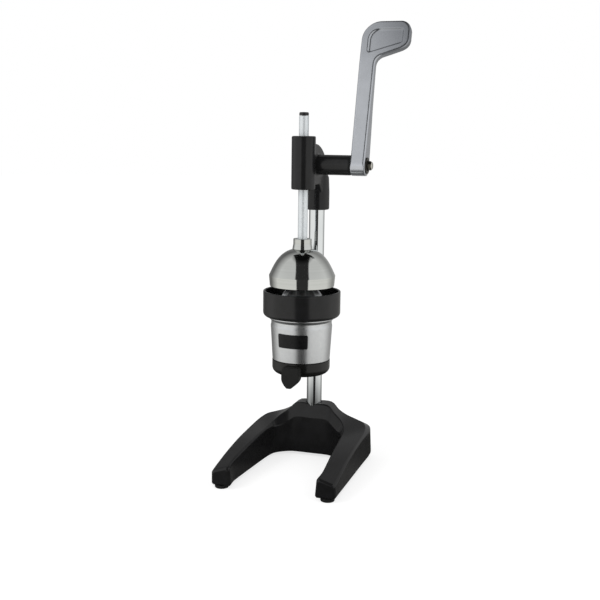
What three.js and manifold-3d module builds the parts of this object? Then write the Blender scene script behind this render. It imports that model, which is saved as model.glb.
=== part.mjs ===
// Lever citrus juice press: cast base, round column, rack-and-pinion head, swinging handle,
// pressing dome, and a cup with strainer, ribbed reamer and spout tray.
// Millimetres, +Z up. While it is built, the ram runs down the Z axis, the front is -Y
// and the handle is on the +X side.
import * as THREE from "three";
import { mergeVertices } from "three/addons/utils/BufferGeometryUtils.js";
import Module from "manifold-3d";

const wasm = await Module();
wasm.setup();

// Clearances and cutting allowance
const GAP = 0.3;
const OVERRUN = 2;

// Facets round a full circle, for large, middling and small round pieces and for bolt heads
const FACETS_LARGE = 36;
const FACETS_MIDDLE = 20;
const FACETS_SMALL = 8;
const FACETS_HEX = 6;

// Rubber feet
const FOOT_RADIUS = 8.6;
const FOOT_HEIGHT = 4.7;
const FOOT_CHAMFER = 0.8;
const FOOT_SCREW_RADIUS = 2;
const FOOT_SCREW_HEAD_RADIUS = 4;
const FOOT_SCREW_HEAD_HEIGHT = 1.8;
const FOOT_SCREW_SINK = 1.9;
const FOOT_SCREW_GRIP = 9;
const FOOT_BOSS_RADIUS = 6;

// Base casting: a U in plan, open to the front, with a hump that holds the column
const BASE_UNDERSIDE = FOOT_HEIGHT + GAP;
const BASE_HALF_WIDTH = 78;
const BASE_FRONT = 108.5;
const BASE_HUMP_HEIGHT = 65.5;
const BASE_BEHIND_COLUMN = 20.6;
const BASE_WALL = 5;
const BASE_FOOT_ROUND = 2;
const COLUMN_BOSS_WALL = 4.5;

// Column, with the bolt that draws it down into the base
const COLUMN_RADIUS = 10;
const COLUMN_SOCKET_DEPTH = 42;
const COLUMN_CHAMFER = 1;
const COLUMN_BOLT_RADIUS = 4;
const COLUMN_BOLT_GRIP = 18;
const COLUMN_BOLT_HEAD_RADIUS = 7.2;
const COLUMN_BOLT_HEAD_HEIGHT = 5.3;
const COLUMN_WASHER_WIDTH = 4.7;
const COLUMN_WASHER_THICKNESS = 1.6;

// Cup: everything round the ram axis takes its width from the cup's sleeve
const CUP_RADIUS = 41.2;
const CUP_SHEET = 1.2;
const CUP_FLANGE_WIDTH = 2.8;
const CUP_GROOVE_DEPTH = 3.2;
const CUP_GROOVE_RETURN_SHARE = 0.2;
const CUP_GROOVE_WIDTH = 6.6;
const CUP_TAPER = 5.6;
const CUP_LENGTH = 52.7;
const CUP_BOTTOM_LIP = 5;

// Ring that carries the cup
const RING_TOP = 229.2;
const RING_HEIGHT = 32.8;
const RING_WALL = 3.7;
const RING_LIP = 2.6;
const RING_LEDGE_HEIGHT = 6;
const RING_LEDGE_ROOM = 11;
const RING_BOTTOM_ROUND = 6.4;
const RING_TO_COLUMN = 1.4;
const RING_BOSS_WALL = 5;
const RING_BOSS_DEPTH = 28;

// Spout tray
const TRAY_OVER_CUP = 0.4;
const TRAY_WALL = 1.8;
const TRAY_DEPTH = 17.5;
const TRAY_CORNER = 8;
const TRAY_SPIGOT_WALL = 1.6;
const TRAY_SPIGOT_HEIGHT = 5;
const SPOUT_HALF_WIDTH = 12.4;
const SPOUT_REACH = 14.3;
const SPOUT_DROP = 10.2;
const SPOUT_TIP_HALF_WIDTH = 3.2;
const SPOUT_TOP_DROP = 2.6;
const SPOUT_CHANNEL_RADIUS = 3;
const SPOUT_FACE_LEAN = 6;

// Strainer and reamer
const STRAINER_SHEET = 1.2;
const STRAINER_SIDE_ROOM = 1.5;
const STRAINER_BOWL_DEPTH = 7;
const STRAINER_SLOTS = 36;
const STRAINER_SLOT_WIDTH = 1.6;
const STRAINER_SLOT_LENGTH = 3.8;
const REAMER_SIDE_ROOM = 5.5;
const REAMER_HEIGHT = 42;
const REAMER_RIDGES = 12;
const REAMER_RIDGE_DEPTH_SHARE = 0.11;
const REAMER_WALL = 4;
const REAMER_SCREW_RADIUS = 2;
const REAMER_SCREW_HEAD_RADIUS = 4;
const REAMER_SCREW_HEAD_HEIGHT = 2;
const REAMER_SCREW_GRIP = 14;
const REAMER_POST_RADIUS = 5;

// Pressing dome, which hangs clear of the ring while the handle leans back
const DOME_REST_CLEARANCE = 7.3;
const DOME_BAND_HEIGHT = 13.2;
const DOME_SIDE_ROOM = 3.2;
const DOME_HEIGHT = 45.5;
const DOME_TOP_RADIUS = 12.5;
const DOME_WALL = 1.6;
const DOME_CROWN = 4;
const COLLAR_HEIGHT = 12.4;
const COLLAR_TOP_RADIUS = 11.4;
const COLLAR_BOTTOM_RADIUS = 12.5;
const COLLAR_FLOOR = 2.9;
const DOME_BOLT_RADIUS = 3;
const DOME_BOLT_GRIP = 12;
const DOME_BOLT_HEAD_RADIUS = 5.5;
const DOME_BOLT_HEAD_HEIGHT = 3.6;
const DOME_WASHER_WIDTH = 5.2;
const DOME_WASHER_THICKNESS = 1.4;

// Ram rod, rack teeth and pinion
const ROD_RADIUS = 6;
const ROD_BELOW_GUIDE = 70.6;
const ROD_ABOVE_GUIDE = 25.2;
const ROD_BUSH_WALL = 2;
const ROD_BUSH_LENGTH = 10;
const ROD_CAP_HEIGHT = 3.2;
const ROD_CAP_SPIGOT_RADIUS = 2.5;
const ROD_CAP_SPIGOT_LENGTH = 5;
const RACK_END_ROOM = 24;
const GEAR_MODULE = 1.5;
const GEAR_DEDENDUM_SHARE = 1.25;
const GEAR_TEETH = 26;
const GEAR_PRESSURE_DEGREES = 20;
const GEAR_BACKLASH = 0.45;
const GEAR_FACE_WIDTH = 8;
const GEAR_CLEARANCE = 0.7;

// Head casting: a guide tube for the ram, a web that houses the pinion, a socket on the column
// and a tube for the shaft
const GUIDE_LENGTH = 63.5;
const GUIDE_RADIUS = 14.8;
const SHAFT_ABOVE_GUIDE_FOOT = 29.5;
const SOCKET_WALL = 2.9;
const SOCKET_BELOW_GUIDE = 27.6;
const SOCKET_DEPTH = 40;
const CAP_TO_GEAR = 1;
const WEB_WALL = 4;
const SOCKET_PAD_DEPTH = 6;
const HEAD_EDGE = 1.2;
const SHAFT_TUBE_RADIUS = 12.4;
const SHAFT_TUBE_LENGTH = 54.8;

// Pinion shaft and what holds it
const SHAFT_RADIUS = 6;
const SHAFT_SQUARE_SHARE = 0.98;
const SHAFT_STUD_SHARE = 0.95;
const BUSH_WALL = 2;
const BUSH_LENGTH = 12;
const KEY_WIDTH = 3;
const KEY_HEIGHT = 3;
const CAP_THICKNESS = 3;
const CAP_RING_THICKNESS = 1;
const CAP_RING_WIDTH = 2.2;
const CAP_RING_GAP_DEGREES = 40;

// Handle, its washers and its nut
const HANDLE_LEAN_DEGREES = 18.4;
const HANDLE_REACH = 182;
const HANDLE_WIDTH = 18.5;
const HANDLE_FLARE = 1.7;
const HANDLE_BOSS_RADIUS = 12.7;
const HANDLE_WAIST_THICKNESS = 15.5;
const HANDLE_GRIP_THICKNESS = 10;
const HANDLE_EDGE = 1.8;
const PADDLE_OVERHANG = 40.9;
const PADDLE_HEIGHT = 38.5;
const PADDLE_OUTER_RADIUS = 24;
const PADDLE_END_RADIUS = 13;
const PADDLE_DROP = 9.5;
const PADDLE_ELBOW = 8;
const PADDLE_RECESS_DEPTH = 2;
const PADDLE_RIM = 9.6;
const HANDLE_WASHER_WIDTH = 6;
const HANDLE_WASHER_THICKNESS = 1.1;
const LOCK_WASHER_WIDTH = 2.9;
const LOCK_WASHER_THICKNESS = 1.1;
const LOCK_WASHER_SPLIT = 1.2;
const NUT_ACROSS_FLATS = 12.6;
const NUT_HEX_HEIGHT = 2.4;
const NUT_DOME_WALL = 0.6;
const NUT_DOME_HEIGHT = 2.1;

// Set screws in the head and in the ring's boss
const SET_SCREW_RADIUS = 2.5;
const SET_SCREW_CHAMFER = 0.6;
const SET_SCREW_SOCKET_RADIUS = 1.4;
const SET_SCREW_SOCKET_DEPTH = 2;

// Places round the ram axis that follow from the sizes above
const CUP_FLANGE_RADIUS = CUP_RADIUS + CUP_FLANGE_WIDTH;
const CUP_FOOT_RADIUS = CUP_RADIUS - CUP_TAPER;
const RING_INSIDE = CUP_FLANGE_RADIUS + GAP;
const RING_RADIUS = RING_INSIDE + RING_WALL;
const TRAY_RADIUS = CUP_FOOT_RADIUS + TRAY_OVER_CUP;
const SPOUT_FRONT = TRAY_RADIUS + SPOUT_REACH;
const STRAINER_BOWL_RADIUS = CUP_RADIUS - CUP_SHEET - STRAINER_SIDE_ROOM;
const REAMER_RADIUS = STRAINER_BOWL_RADIUS - REAMER_SIDE_ROOM;
const DOME_RADIUS = CUP_FLANGE_RADIUS - DOME_SIDE_ROOM;
const COLUMN_OFFSET = RING_RADIUS + RING_TO_COLUMN + COLUMN_RADIUS;
const BASE_REAR = COLUMN_OFFSET + BASE_BEHIND_COLUMN;

// Heights that follow, from the base up to the head
const HUMP_TOP = BASE_UNDERSIDE + BASE_HUMP_HEIGHT;
const COLUMN_FOOT = HUMP_TOP - COLUMN_SOCKET_DEPTH;
const RING_BOTTOM = RING_TOP - RING_HEIGHT;
const RING_LEDGE = RING_BOTTOM + RING_LEDGE_HEIGHT;
const CUP_FLANGE_TOP = RING_LEDGE + GAP + CUP_SHEET;
const CUP_BOTTOM = RING_BOTTOM - CUP_LENGTH;
const STRAINER_TOP = CUP_FLANGE_TOP + GAP + STRAINER_SHEET;
const STRAINER_FLOOR = STRAINER_TOP - STRAINER_BOWL_DEPTH;
const REAMER_FOOT = STRAINER_FLOOR + STRAINER_SHEET + GAP;
const TRAY_TOP = CUP_BOTTOM - GAP;
const TRAY_BOTTOM = TRAY_TOP - TRAY_DEPTH;
const DOME_RIM = RING_TOP + DOME_REST_CLEARANCE;
const DOME_TOP = DOME_RIM + DOME_HEIGHT;
const ROD_BOTTOM = DOME_TOP + GAP + COLLAR_FLOOR + GAP;
const GUIDE_BOTTOM = ROD_BOTTOM + ROD_BELOW_GUIDE;
const GUIDE_TOP = GUIDE_BOTTOM + GUIDE_LENGTH;
const ROD_TOP = GUIDE_TOP + ROD_ABOVE_GUIDE;
const SOCKET_BOTTOM = GUIDE_BOTTOM - SOCKET_BELOW_GUIDE;
const COLUMN_TOP = SOCKET_BOTTOM + SOCKET_DEPTH;
const SHAFT_HEIGHT = GUIDE_BOTTOM + SHAFT_ABOVE_GUIDE_FOOT;

// Pinion and shaft places that follow
const PITCH_RADIUS = (GEAR_MODULE * GEAR_TEETH) / 2;
const GEAR_OUTER_RADIUS = PITCH_RADIUS + GEAR_MODULE;
const GEAR_ROOT_RADIUS = PITCH_RADIUS - GEAR_MODULE * GEAR_DEDENDUM_SHARE;
const RACK_PITCH = Math.PI * GEAR_MODULE;
const RACK_PITCH_LINE = ROD_RADIUS - GEAR_MODULE;
const RACK_GAPS_ABOVE = Math.floor((ROD_TOP - RACK_END_ROOM - SHAFT_HEIGHT) / RACK_PITCH);
const RACK_GAPS_BELOW = Math.floor((SHAFT_HEIGHT - ROD_BOTTOM - RACK_END_ROOM) / RACK_PITCH);
const SHAFT_OFFSET = RACK_PITCH_LINE + PITCH_RADIUS;
const CAVITY_RADIUS = GEAR_OUTER_RADIUS + GEAR_CLEARANCE;
const CAP_RIGHT = -GEAR_FACE_WIDTH / 2 - CAP_TO_GEAR;
const CAP_LEFT = CAP_RIGHT - CAP_THICKNESS;
const CAP_RING_LEFT = CAP_LEFT - GAP - CAP_RING_THICKNESS;
const WEB_HALF_THICKNESS = HEAD_EDGE - CAP_RING_LEFT;
const CAVITY_RIGHT = GEAR_FACE_WIDTH / 2 + GEAR_CLEARANCE;
const SOCKET_RADIUS = COLUMN_RADIUS + SOCKET_WALL;
const PAD_REAR = COLUMN_OFFSET + SOCKET_RADIUS + SOCKET_PAD_DEPTH;
const SHAFT_SQUARE = SHAFT_RADIUS * Math.SQRT2 * SHAFT_SQUARE_SHARE;
const SHAFT_STUD_RADIUS = (SHAFT_SQUARE / 2) * SHAFT_STUD_SHARE;
const HANDLE_INNER_FACE = SHAFT_TUBE_LENGTH + GAP;
const HANDLE_OUTER_FACE = HANDLE_INNER_FACE + HANDLE_WIDTH;
const WASHER_FACE = HANDLE_OUTER_FACE + GAP;
const LOCK_WASHER_FACE = WASHER_FACE + HANDLE_WASHER_THICKNESS + GAP;
const NUT_FACE = LOCK_WASHER_FACE + LOCK_WASHER_THICKNESS + GAP;
const NUT_DOME_RADIUS = SHAFT_STUD_RADIUS + GAP + NUT_DOME_WALL;
const LEAN = THREE.MathUtils.degToRad(HANDLE_LEAN_DEGREES);

// Turns a closed three.js geometry into a solid that can be joined and cut.
function solid(geometry) {
  const bare = geometry.clone();
  bare.deleteAttribute("normal");
  bare.deleteAttribute("uv");
  const merged = mergeVertices(bare, 1e-4);
  const vertProperties = new Float32Array(merged.attributes.position.array);
  const triVerts = new Uint32Array(merged.index.array);
  return new wasm.Manifold(new wasm.Mesh({ numProp: 3, vertProperties, triVerts }));
}

// Turns a solid back into a three.js geometry.
function geometryOf(body) {
  const mesh = body.getMesh();
  const geometry = new THREE.BufferGeometry();
  geometry.setAttribute("position", new THREE.BufferAttribute(mesh.vertProperties, 3));
  geometry.setIndex(new THREE.BufferAttribute(mesh.triVerts, 1));
  return geometry;
}

function join(first, ...others) {
  return others.reduce((sum, other) => sum.add(other), first);
}

function cut(first, ...others) {
  return others.reduce((rest, other) => rest.subtract(other), first);
}

// A profile of [radius, height] pairs turned about the Z axis.
function turned(profile, facets = FACETS_LARGE) {
  const points = profile.map(([radius, height]) => new THREE.Vector2(radius, height));
  return solid(new THREE.LatheGeometry(points, facets).rotateX(Math.PI / 2));
}

// A ring-shaped profile that closes on itself instead of meeting the axis.
function turnedRing(profile, facets = FACETS_LARGE) {
  return turned([...profile, profile[0]], facets);
}

// A round bar about the Z axis, with optional chamfers.
function bar(radius, low, high, facets = FACETS_MIDDLE, chamferLow = 0, chamferHigh = 0) {
  const profile = [[0, low]];
  if (chamferLow > 0) profile.push([radius - chamferLow, low]);
  profile.push([radius, low + chamferLow]);
  profile.push([radius, high - chamferHigh]);
  if (chamferHigh > 0) profile.push([radius - chamferHigh, high]);
  profile.push([0, high]);
  return turned(profile, facets);
}

function tube(outer, inner, low, high, facets = FACETS_MIDDLE) {
  return turnedRing([[inner, low], [outer, low], [outer, high], [inner, high]], facets);
}

// Lays a solid made about Z along X or along Y instead.
function alongX(body) {
  return body.rotate([0, 90, 0]);
}

function alongY(body) {
  return body.rotate([-90, 0, 0]);
}

function shapeOf(points) {
  return new THREE.Shape(points.map(([u, v]) => new THREE.Vector2(u, v)));
}

// Extrusions of a plane shape: in plan along Z, in side view (y, z) along X,
// and in front view (x, z) along Y.
function extrudeZ(shape, low, high, options = {}) {
  const geometry = new THREE.ExtrudeGeometry(shape, {
    depth: high - low, bevelEnabled: false, curveSegments: 8, ...options,
  });
  return solid(geometry.translate(0, 0, low));
}

function extrudeX(shape, low, high, options = {}) {
  const turn = new THREE.Matrix4().makeBasis(
    new THREE.Vector3(0, 1, 0), new THREE.Vector3(0, 0, 1), new THREE.Vector3(1, 0, 0),
  );
  const geometry = new THREE.ExtrudeGeometry(shape, {
    depth: high - low, bevelEnabled: false, curveSegments: 8, ...options,
  });
  return solid(geometry.applyMatrix4(turn).translate(low, 0, 0));
}

function extrudeY(shape, low, high, options = {}) {
  const turn = new THREE.Matrix4().makeBasis(
    new THREE.Vector3(1, 0, 0), new THREE.Vector3(0, 0, 1), new THREE.Vector3(0, -1, 0),
  );
  const geometry = new THREE.ExtrudeGeometry(shape, {
    depth: high - low, bevelEnabled: false, curveSegments: 8, ...options,
  });
  return solid(geometry.applyMatrix4(turn).translate(0, high, 0));
}

// Extrusion options for edges rounded by one flat all round, inside the shape's outline.
function bevel(size, curveSegments) {
  return {
    bevelEnabled: true, bevelThickness: size, bevelSize: size, bevelOffset: -size, bevelSegments: 1,
    curveSegments,
  };
}

// A closed skin over rows of points, each row a ring of equal length, with flat ends.
// Its faces are turned over if the rings run the other way round.
function loft(rings) {
  const count = rings[0].length;
  const points = rings.flat();
  const faces = [];
  for (let row = 0; row + 1 < rings.length; row += 1) {
    for (let i = 0; i < count; i += 1) {
      const a = row * count + i;
      const b = row * count + ((i + 1) % count);
      faces.push(a, b, a + count, b, b + count, a + count);
    }
  }
  const last = (rings.length - 1) * count;
  for (let i = 1; i + 1 < count; i += 1) {
    faces.push(0, i + 1, i);
    faces.push(last, last + i, last + i + 1);
  }
  const geometry = new THREE.BufferGeometry();
  geometry.setAttribute("position", new THREE.Float32BufferAttribute(points.flat(), 3));
  geometry.setIndex(faces);
  const body = solid(geometry);
  if (body.volume() > 0) return body;
  for (let i = 0; i < faces.length; i += 3) {
    [faces[i + 1], faces[i + 2]] = [faces[i + 2], faces[i + 1]];
  }
  geometry.setIndex(faces);
  return solid(geometry);
}

// Finishes of the pieces
const FINISHES = {
  blackPaint: { color: 0x1d1d1e, roughness: 0.38, metalness: 0.0 },
  silverPaint: { color: 0x9da0a4, roughness: 0.42, metalness: 0.55 },
  chrome: { color: 0xd5d8d8, roughness: 0.1, metalness: 1.0 },
  stainless: { color: 0xc0bfba, roughness: 0.3, metalness: 1.0 },
  steel: { color: 0x8f8c85, roughness: 0.4, metalness: 1.0 },
  bronze: { color: 0xa07c4a, roughness: 0.45, metalness: 1.0 },
  blackPlastic: { color: 0x161616, roughness: 0.3, metalness: 0.0 },
  rubber: { color: 0x141414, roughness: 0.8, metalness: 0.0 },
  aluminium: { color: 0xb9bbbd, roughness: 0.4, metalness: 1.0 },
};

function piece(group, name, body, finish) {
  const mesh = new THREE.Mesh(geometryOf(body), new THREE.MeshStandardMaterial(FINISHES[finish]));
  mesh.name = name;
  group.add(mesh);
  return mesh;
}

// Base casting
// Each row is a section across the U, from the middle of the back to the tip of the right leg.
// It holds x, y and z of the inner wall's top edge, of the two edges of the crest and of the outer
// wall's top edge. x is a share of the half width, y a share of the reach behind or before the ram
// axis, z a share of the hump's height.
const castingRowShares = [
  [0, 0.562, 0.725, 0, 0.631, 1, 0, 0.9, 1, 0, 1, 0.8],
  [0.256, 0.562, 0.725, 0.269, 0.631, 1, 0.269, 0.9, 0.995, 0.282, 1, 0.794],
  [0.378, 0.532, 0.634, 0.404, 0.606, 0.863, 0.413, 0.881, 0.85, 0.423, 1, 0.702],
  [0.494, 0.456, 0.557, 0.538, 0.544, 0.74, 0.556, 0.869, 0.757, 0.577, 1, 0.634],
  [0.558, 0.388, 0.544, 0.609, 0.45, 0.649, 0.731, 0.856, 0.687, 0.756, 0.995, 0.588],
  [0.596, 0.312, 0.547, 0.641, 0.356, 0.608, 0.872, 0.8, 0.638, 0.917, 0.963, 0.55],
  [0.628, 0.15, 0.54, 0.66, 0.163, 0.574, 0.949, 0.575, 0.58, 0.987, 0.775, 0.511],
  [0.649, -0.055, 0.524, 0.679, -0.055, 0.554, 0.964, 0.1, 0.534, 0.991, 0.25, 0.493],
  [0.674, -0.304, 0.482, 0.705, -0.304, 0.513, 0.964, -0.249, 0.493, 0.993, -0.221, 0.452],
  [0.7, -0.553, 0.431, 0.731, -0.553, 0.461, 0.964, -0.544, 0.421, 0.996, -0.535, 0.382],
  [0.721, -0.811, 0.373, 0.751, -0.811, 0.4, 0.965, -0.811, 0.33, 1, -0.811, 0.29],
  [0.713, -0.949, 0.33, 0.751, -0.945, 0.363, 0.956, -0.945, 0.272, 0.99, -0.949, 0.232],
  [0.738, -1, 0.235, 0.772, -0.984, 0.305, 0.936, -0.984, 0.223, 0.959, -1, 0.168],
];
const footPlaceShares = {
  front_left: [-0.856, -0.928],
  front_right: [0.856, -0.928],
  rear_left: [-0.8, 0.8],
  rear_right: [0.8, 0.8],
};

function castingPlace([x, y]) {
  const reach = y > 0 ? BASE_REAR : BASE_FRONT;
  return [x * BASE_HALF_WIDTH, y * reach];
}

function footPlaces() {
  return Object.entries(footPlaceShares).map(([place, shares]) => [place, ...castingPlace(shares)]);
}

// The rings of points across the casting. The walls and the top are drawn in by inset, and the
// lowest edges by round, over an equal height.
function castingRings(inset, underside, round) {
  const rightRings = castingRowShares.map((row) => {
    const places = [castingPlace(row.slice(0, 2)), castingPlace(row.slice(3, 5)),
      castingPlace(row.slice(6, 8)), castingPlace(row.slice(9, 11))];
    const heights = [row[2], row[5], row[8], row[11]]
      .map((share) => BASE_UNDERSIDE + share * BASE_HUMP_HEIGHT - inset);
    const [inner, , , outer] = places;
    const across = Math.hypot(outer[0] - inner[0], outer[1] - inner[1]);
    const drawn = ([x, y], depth) => [
      x + ((inner[0] + outer[0] - 2 * x) * depth) / across,
      y + ((inner[1] + outer[1] - 2 * y) * depth) / across,
    ];
    return [
      [...drawn(inner, inset + round), underside],
      [...drawn(inner, inset), underside + round],
      ...places.map((place, i) => [...drawn(place, inset), heights[i]]),
      [...drawn(outer, inset), underside + round],
      [...drawn(outer, inset + round), underside],
    ];
  });
  const tip = rightRings.length - 1;
  rightRings[tip] = rightRings[tip].map(([x, y, z]) => [x, y + inset, z]);
  const leftRings = rightRings.slice(1).reverse()
    .map((ring) => ring.map(([x, y, z]) => [-x, y, z]));
  return [...leftRings, ...rightRings];
}

function baseCasting() {
  const below = BASE_UNDERSIDE - OVERRUN;
  const outside = loft(castingRings(0, BASE_UNDERSIDE, BASE_FOOT_ROUND));
  let hollow = loft(castingRings(BASE_WALL, below, 0));
  const columnBoss = bar(COLUMN_RADIUS + GAP + COLUMN_BOSS_WALL, below, HUMP_TOP);
  hollow = cut(hollow, columnBoss.translate([0, COLUMN_OFFSET, 0]));
  const footBoss = bar(FOOT_BOSS_RADIUS, below, HUMP_TOP, FACETS_SMALL);
  for (const [, x, y] of footPlaces()) {
    hollow = cut(hollow, footBoss.translate([x, y, 0]));
  }
  let casting = cut(outside, hollow);
  const socket = bar(COLUMN_RADIUS + GAP, COLUMN_FOOT - GAP, HUMP_TOP + OVERRUN);
  const boltHole = bar(COLUMN_BOLT_RADIUS + GAP, 0, HUMP_TOP, FACETS_SMALL);
  const boltRecess = bar(columnWasherRadius() + GAP, -COLUMN_BOLT_HEAD_HEIGHT, columnSeat());
  casting = cut(casting, join(socket, boltHole, boltRecess).translate([0, COLUMN_OFFSET, 0]));
  const screwHole = bar(FOOT_SCREW_RADIUS + GAP, 0, BASE_UNDERSIDE + FOOT_SCREW_GRIP + GAP, FACETS_SMALL);
  for (const [, x, y] of footPlaces()) {
    casting = cut(casting, screwHole.translate([x, y, 0]));
  }
  return casting;
}

// Height of the face that the column bolt's washer bears on.
function columnSeat() {
  return COLUMN_FOOT - GAP - COLUMN_BOSS_WALL;
}

function columnWasherRadius() {
  return COLUMN_BOLT_RADIUS + GAP + COLUMN_WASHER_WIDTH;
}

// Rubber feet, each with a screw sunk into it from below
function footPad() {
  const pad = bar(FOOT_RADIUS, 0, FOOT_HEIGHT, FACETS_MIDDLE, FOOT_CHAMFER, 0);
  const hole = bar(FOOT_SCREW_RADIUS + GAP, 0, FOOT_HEIGHT + OVERRUN, FACETS_SMALL);
  const recess = bar(FOOT_SCREW_HEAD_RADIUS + GAP, -OVERRUN, footScrewSeat(), FACETS_SMALL);
  return cut(pad, join(hole, recess));
}

function footScrewSeat() {
  return FOOT_HEIGHT - FOOT_SCREW_SINK;
}

function footScrew() {
  const under = footScrewSeat() - GAP;
  return headedScrew(FOOT_SCREW_RADIUS, BASE_UNDERSIDE + FOOT_SCREW_GRIP, under, FOOT_SCREW_HEAD_RADIUS,
    FOOT_SCREW_HEAD_HEIGHT, FACETS_SMALL);
}

// A screw or bolt that stands upright: its head is below the height under, its shank above it.
function headedScrew(radius, top, under, headRadius, headHeight, headFacets) {
  const head = bar(headRadius, under - headHeight, under, headFacets);
  const shank = bar(radius, under - headHeight / 2, top, FACETS_SMALL);
  return join(head, shank);
}

// Column and its bolt
function column() {
  const body = bar(COLUMN_RADIUS, COLUMN_FOOT, COLUMN_TOP, FACETS_MIDDLE, COLUMN_CHAMFER, COLUMN_CHAMFER);
  const tapped = bar(COLUMN_BOLT_RADIUS + GAP, COLUMN_FOOT - OVERRUN, COLUMN_FOOT + COLUMN_BOLT_GRIP + GAP,
    FACETS_SMALL);
  return cut(body, tapped).translate([0, COLUMN_OFFSET, 0]);
}

function columnWasher() {
  const top = columnSeat() - GAP;
  return tube(columnWasherRadius(), COLUMN_BOLT_RADIUS + GAP, top - COLUMN_WASHER_THICKNESS, top)
    .translate([0, COLUMN_OFFSET, 0]);
}

function columnBolt() {
  const under = columnSeat() - GAP - COLUMN_WASHER_THICKNESS - GAP;
  return headedScrew(COLUMN_BOLT_RADIUS, COLUMN_FOOT + COLUMN_BOLT_GRIP, under, COLUMN_BOLT_HEAD_RADIUS,
    COLUMN_BOLT_HEAD_HEIGHT, FACETS_HEX).translate([0, COLUMN_OFFSET, 0]);
}

// Head casting
// The web's top runs back from the guide tube and falls in a quarter round to the socket's pad.
const ARCH_RADIUS_SHARE = 0.7;

function webOutline() {
  const top = SHAFT_HEIGHT + CAVITY_RADIUS + WEB_WALL;
  const bottom = SHAFT_HEIGHT - CAVITY_RADIUS - WEB_WALL;
  const radius = (top - SOCKET_BOTTOM) * ARCH_RADIUS_SHARE;
  const shape = new THREE.Shape();
  shape.moveTo(0, bottom);
  shape.lineTo(COLUMN_OFFSET - COLUMN_RADIUS - SOCKET_RADIUS, bottom);
  shape.lineTo(COLUMN_OFFSET - COLUMN_RADIUS, bottom - SOCKET_RADIUS);
  shape.lineTo(COLUMN_OFFSET, SOCKET_BOTTOM);
  shape.lineTo(PAD_REAR, SOCKET_BOTTOM);
  shape.lineTo(PAD_REAR, top - radius);
  shape.absarc(PAD_REAR - radius, top - radius, radius, 0, Math.PI / 2, false);
  shape.lineTo(0, top);
  return shape;
}

function headCasting() {
  const guide = bar(GUIDE_RADIUS, GUIDE_BOTTOM, GUIDE_TOP, FACETS_LARGE, HEAD_EDGE, HEAD_EDGE);
  const socket = bar(SOCKET_RADIUS, SOCKET_BOTTOM, COLUMN_TOP + WEB_WALL, FACETS_LARGE, HEAD_EDGE, HEAD_EDGE)
    .translate([0, COLUMN_OFFSET, 0]);
  const web = extrudeX(webOutline(), HEAD_EDGE - WEB_HALF_THICKNESS, WEB_HALF_THICKNESS - HEAD_EDGE,
    bevel(HEAD_EDGE, 10));
  const shaftTube = alongX(bar(SHAFT_TUBE_RADIUS, 0, SHAFT_TUBE_LENGTH, FACETS_LARGE, 0, HEAD_EDGE))
    .translate([0, SHAFT_OFFSET, SHAFT_HEIGHT]);
  let casting = join(web, guide, socket, shaftTube);

  const rodBore = bar(ROD_RADIUS + GAP, ROD_BOTTOM, ROD_TOP);
  const bushBore = ROD_RADIUS + GAP + ROD_BUSH_WALL + GAP;
  const upperBush = bar(bushBore, GUIDE_TOP - ROD_BUSH_LENGTH - GAP, GUIDE_TOP + OVERRUN);
  const lowerBush = bar(bushBore, GUIDE_BOTTOM - OVERRUN, GUIDE_BOTTOM + ROD_BUSH_LENGTH + GAP);
  const columnBore = bar(COLUMN_RADIUS + GAP, SOCKET_BOTTOM - OVERRUN, COLUMN_TOP + GAP)
    .translate([0, COLUMN_OFFSET, 0]);
  const cavity = alongX(bar(CAVITY_RADIUS, -GUIDE_RADIUS - OVERRUN, CAVITY_RIGHT, FACETS_LARGE));
  const ringGroove = alongX(bar(CAVITY_RADIUS + CAP_RING_WIDTH / 2, CAP_RING_LEFT - GAP,
    CAP_RING_LEFT + CAP_RING_THICKNESS + GAP, FACETS_LARGE));
  const shaftBore = alongX(bar(SHAFT_RADIUS + BUSH_WALL / 2, 0, SHAFT_TUBE_LENGTH + OVERRUN));
  const bushSeat = alongX(bar(SHAFT_RADIUS + GAP + BUSH_WALL + GAP, SHAFT_TUBE_LENGTH - BUSH_LENGTH - GAP,
    SHAFT_TUBE_LENGTH + OVERRUN));
  const shaftCuts = join(cavity, ringGroove, shaftBore, bushSeat).translate([0, SHAFT_OFFSET, SHAFT_HEIGHT]);
  casting = cut(casting, join(rodBore, upperBush, lowerBush), columnBore, shaftCuts);

  for (const height of headScrewHeights()) {
    const hole = alongY(bar(SET_SCREW_RADIUS + GAP, COLUMN_RADIUS, PAD_REAR + OVERRUN, FACETS_SMALL));
    casting = cut(casting, hole.translate([0, COLUMN_OFFSET, height]));
  }
  return casting;
}

function headScrewHeights() {
  return [SOCKET_BOTTOM + SOCKET_DEPTH / 4, SOCKET_BOTTOM + SOCKET_DEPTH / 2];
}

// A headless screw that lies along Y, its tip towards the column and its key socket outwards.
function setScrew(length) {
  const body = bar(SET_SCREW_RADIUS, 0, length, FACETS_SMALL, SET_SCREW_CHAMFER, 0);
  const socket = bar(SET_SCREW_SOCKET_RADIUS, length - SET_SCREW_SOCKET_DEPTH, length + OVERRUN, FACETS_HEX);
  return alongY(cut(body, socket)).translate([0, COLUMN_OFFSET + COLUMN_RADIUS + GAP, 0]);
}

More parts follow.
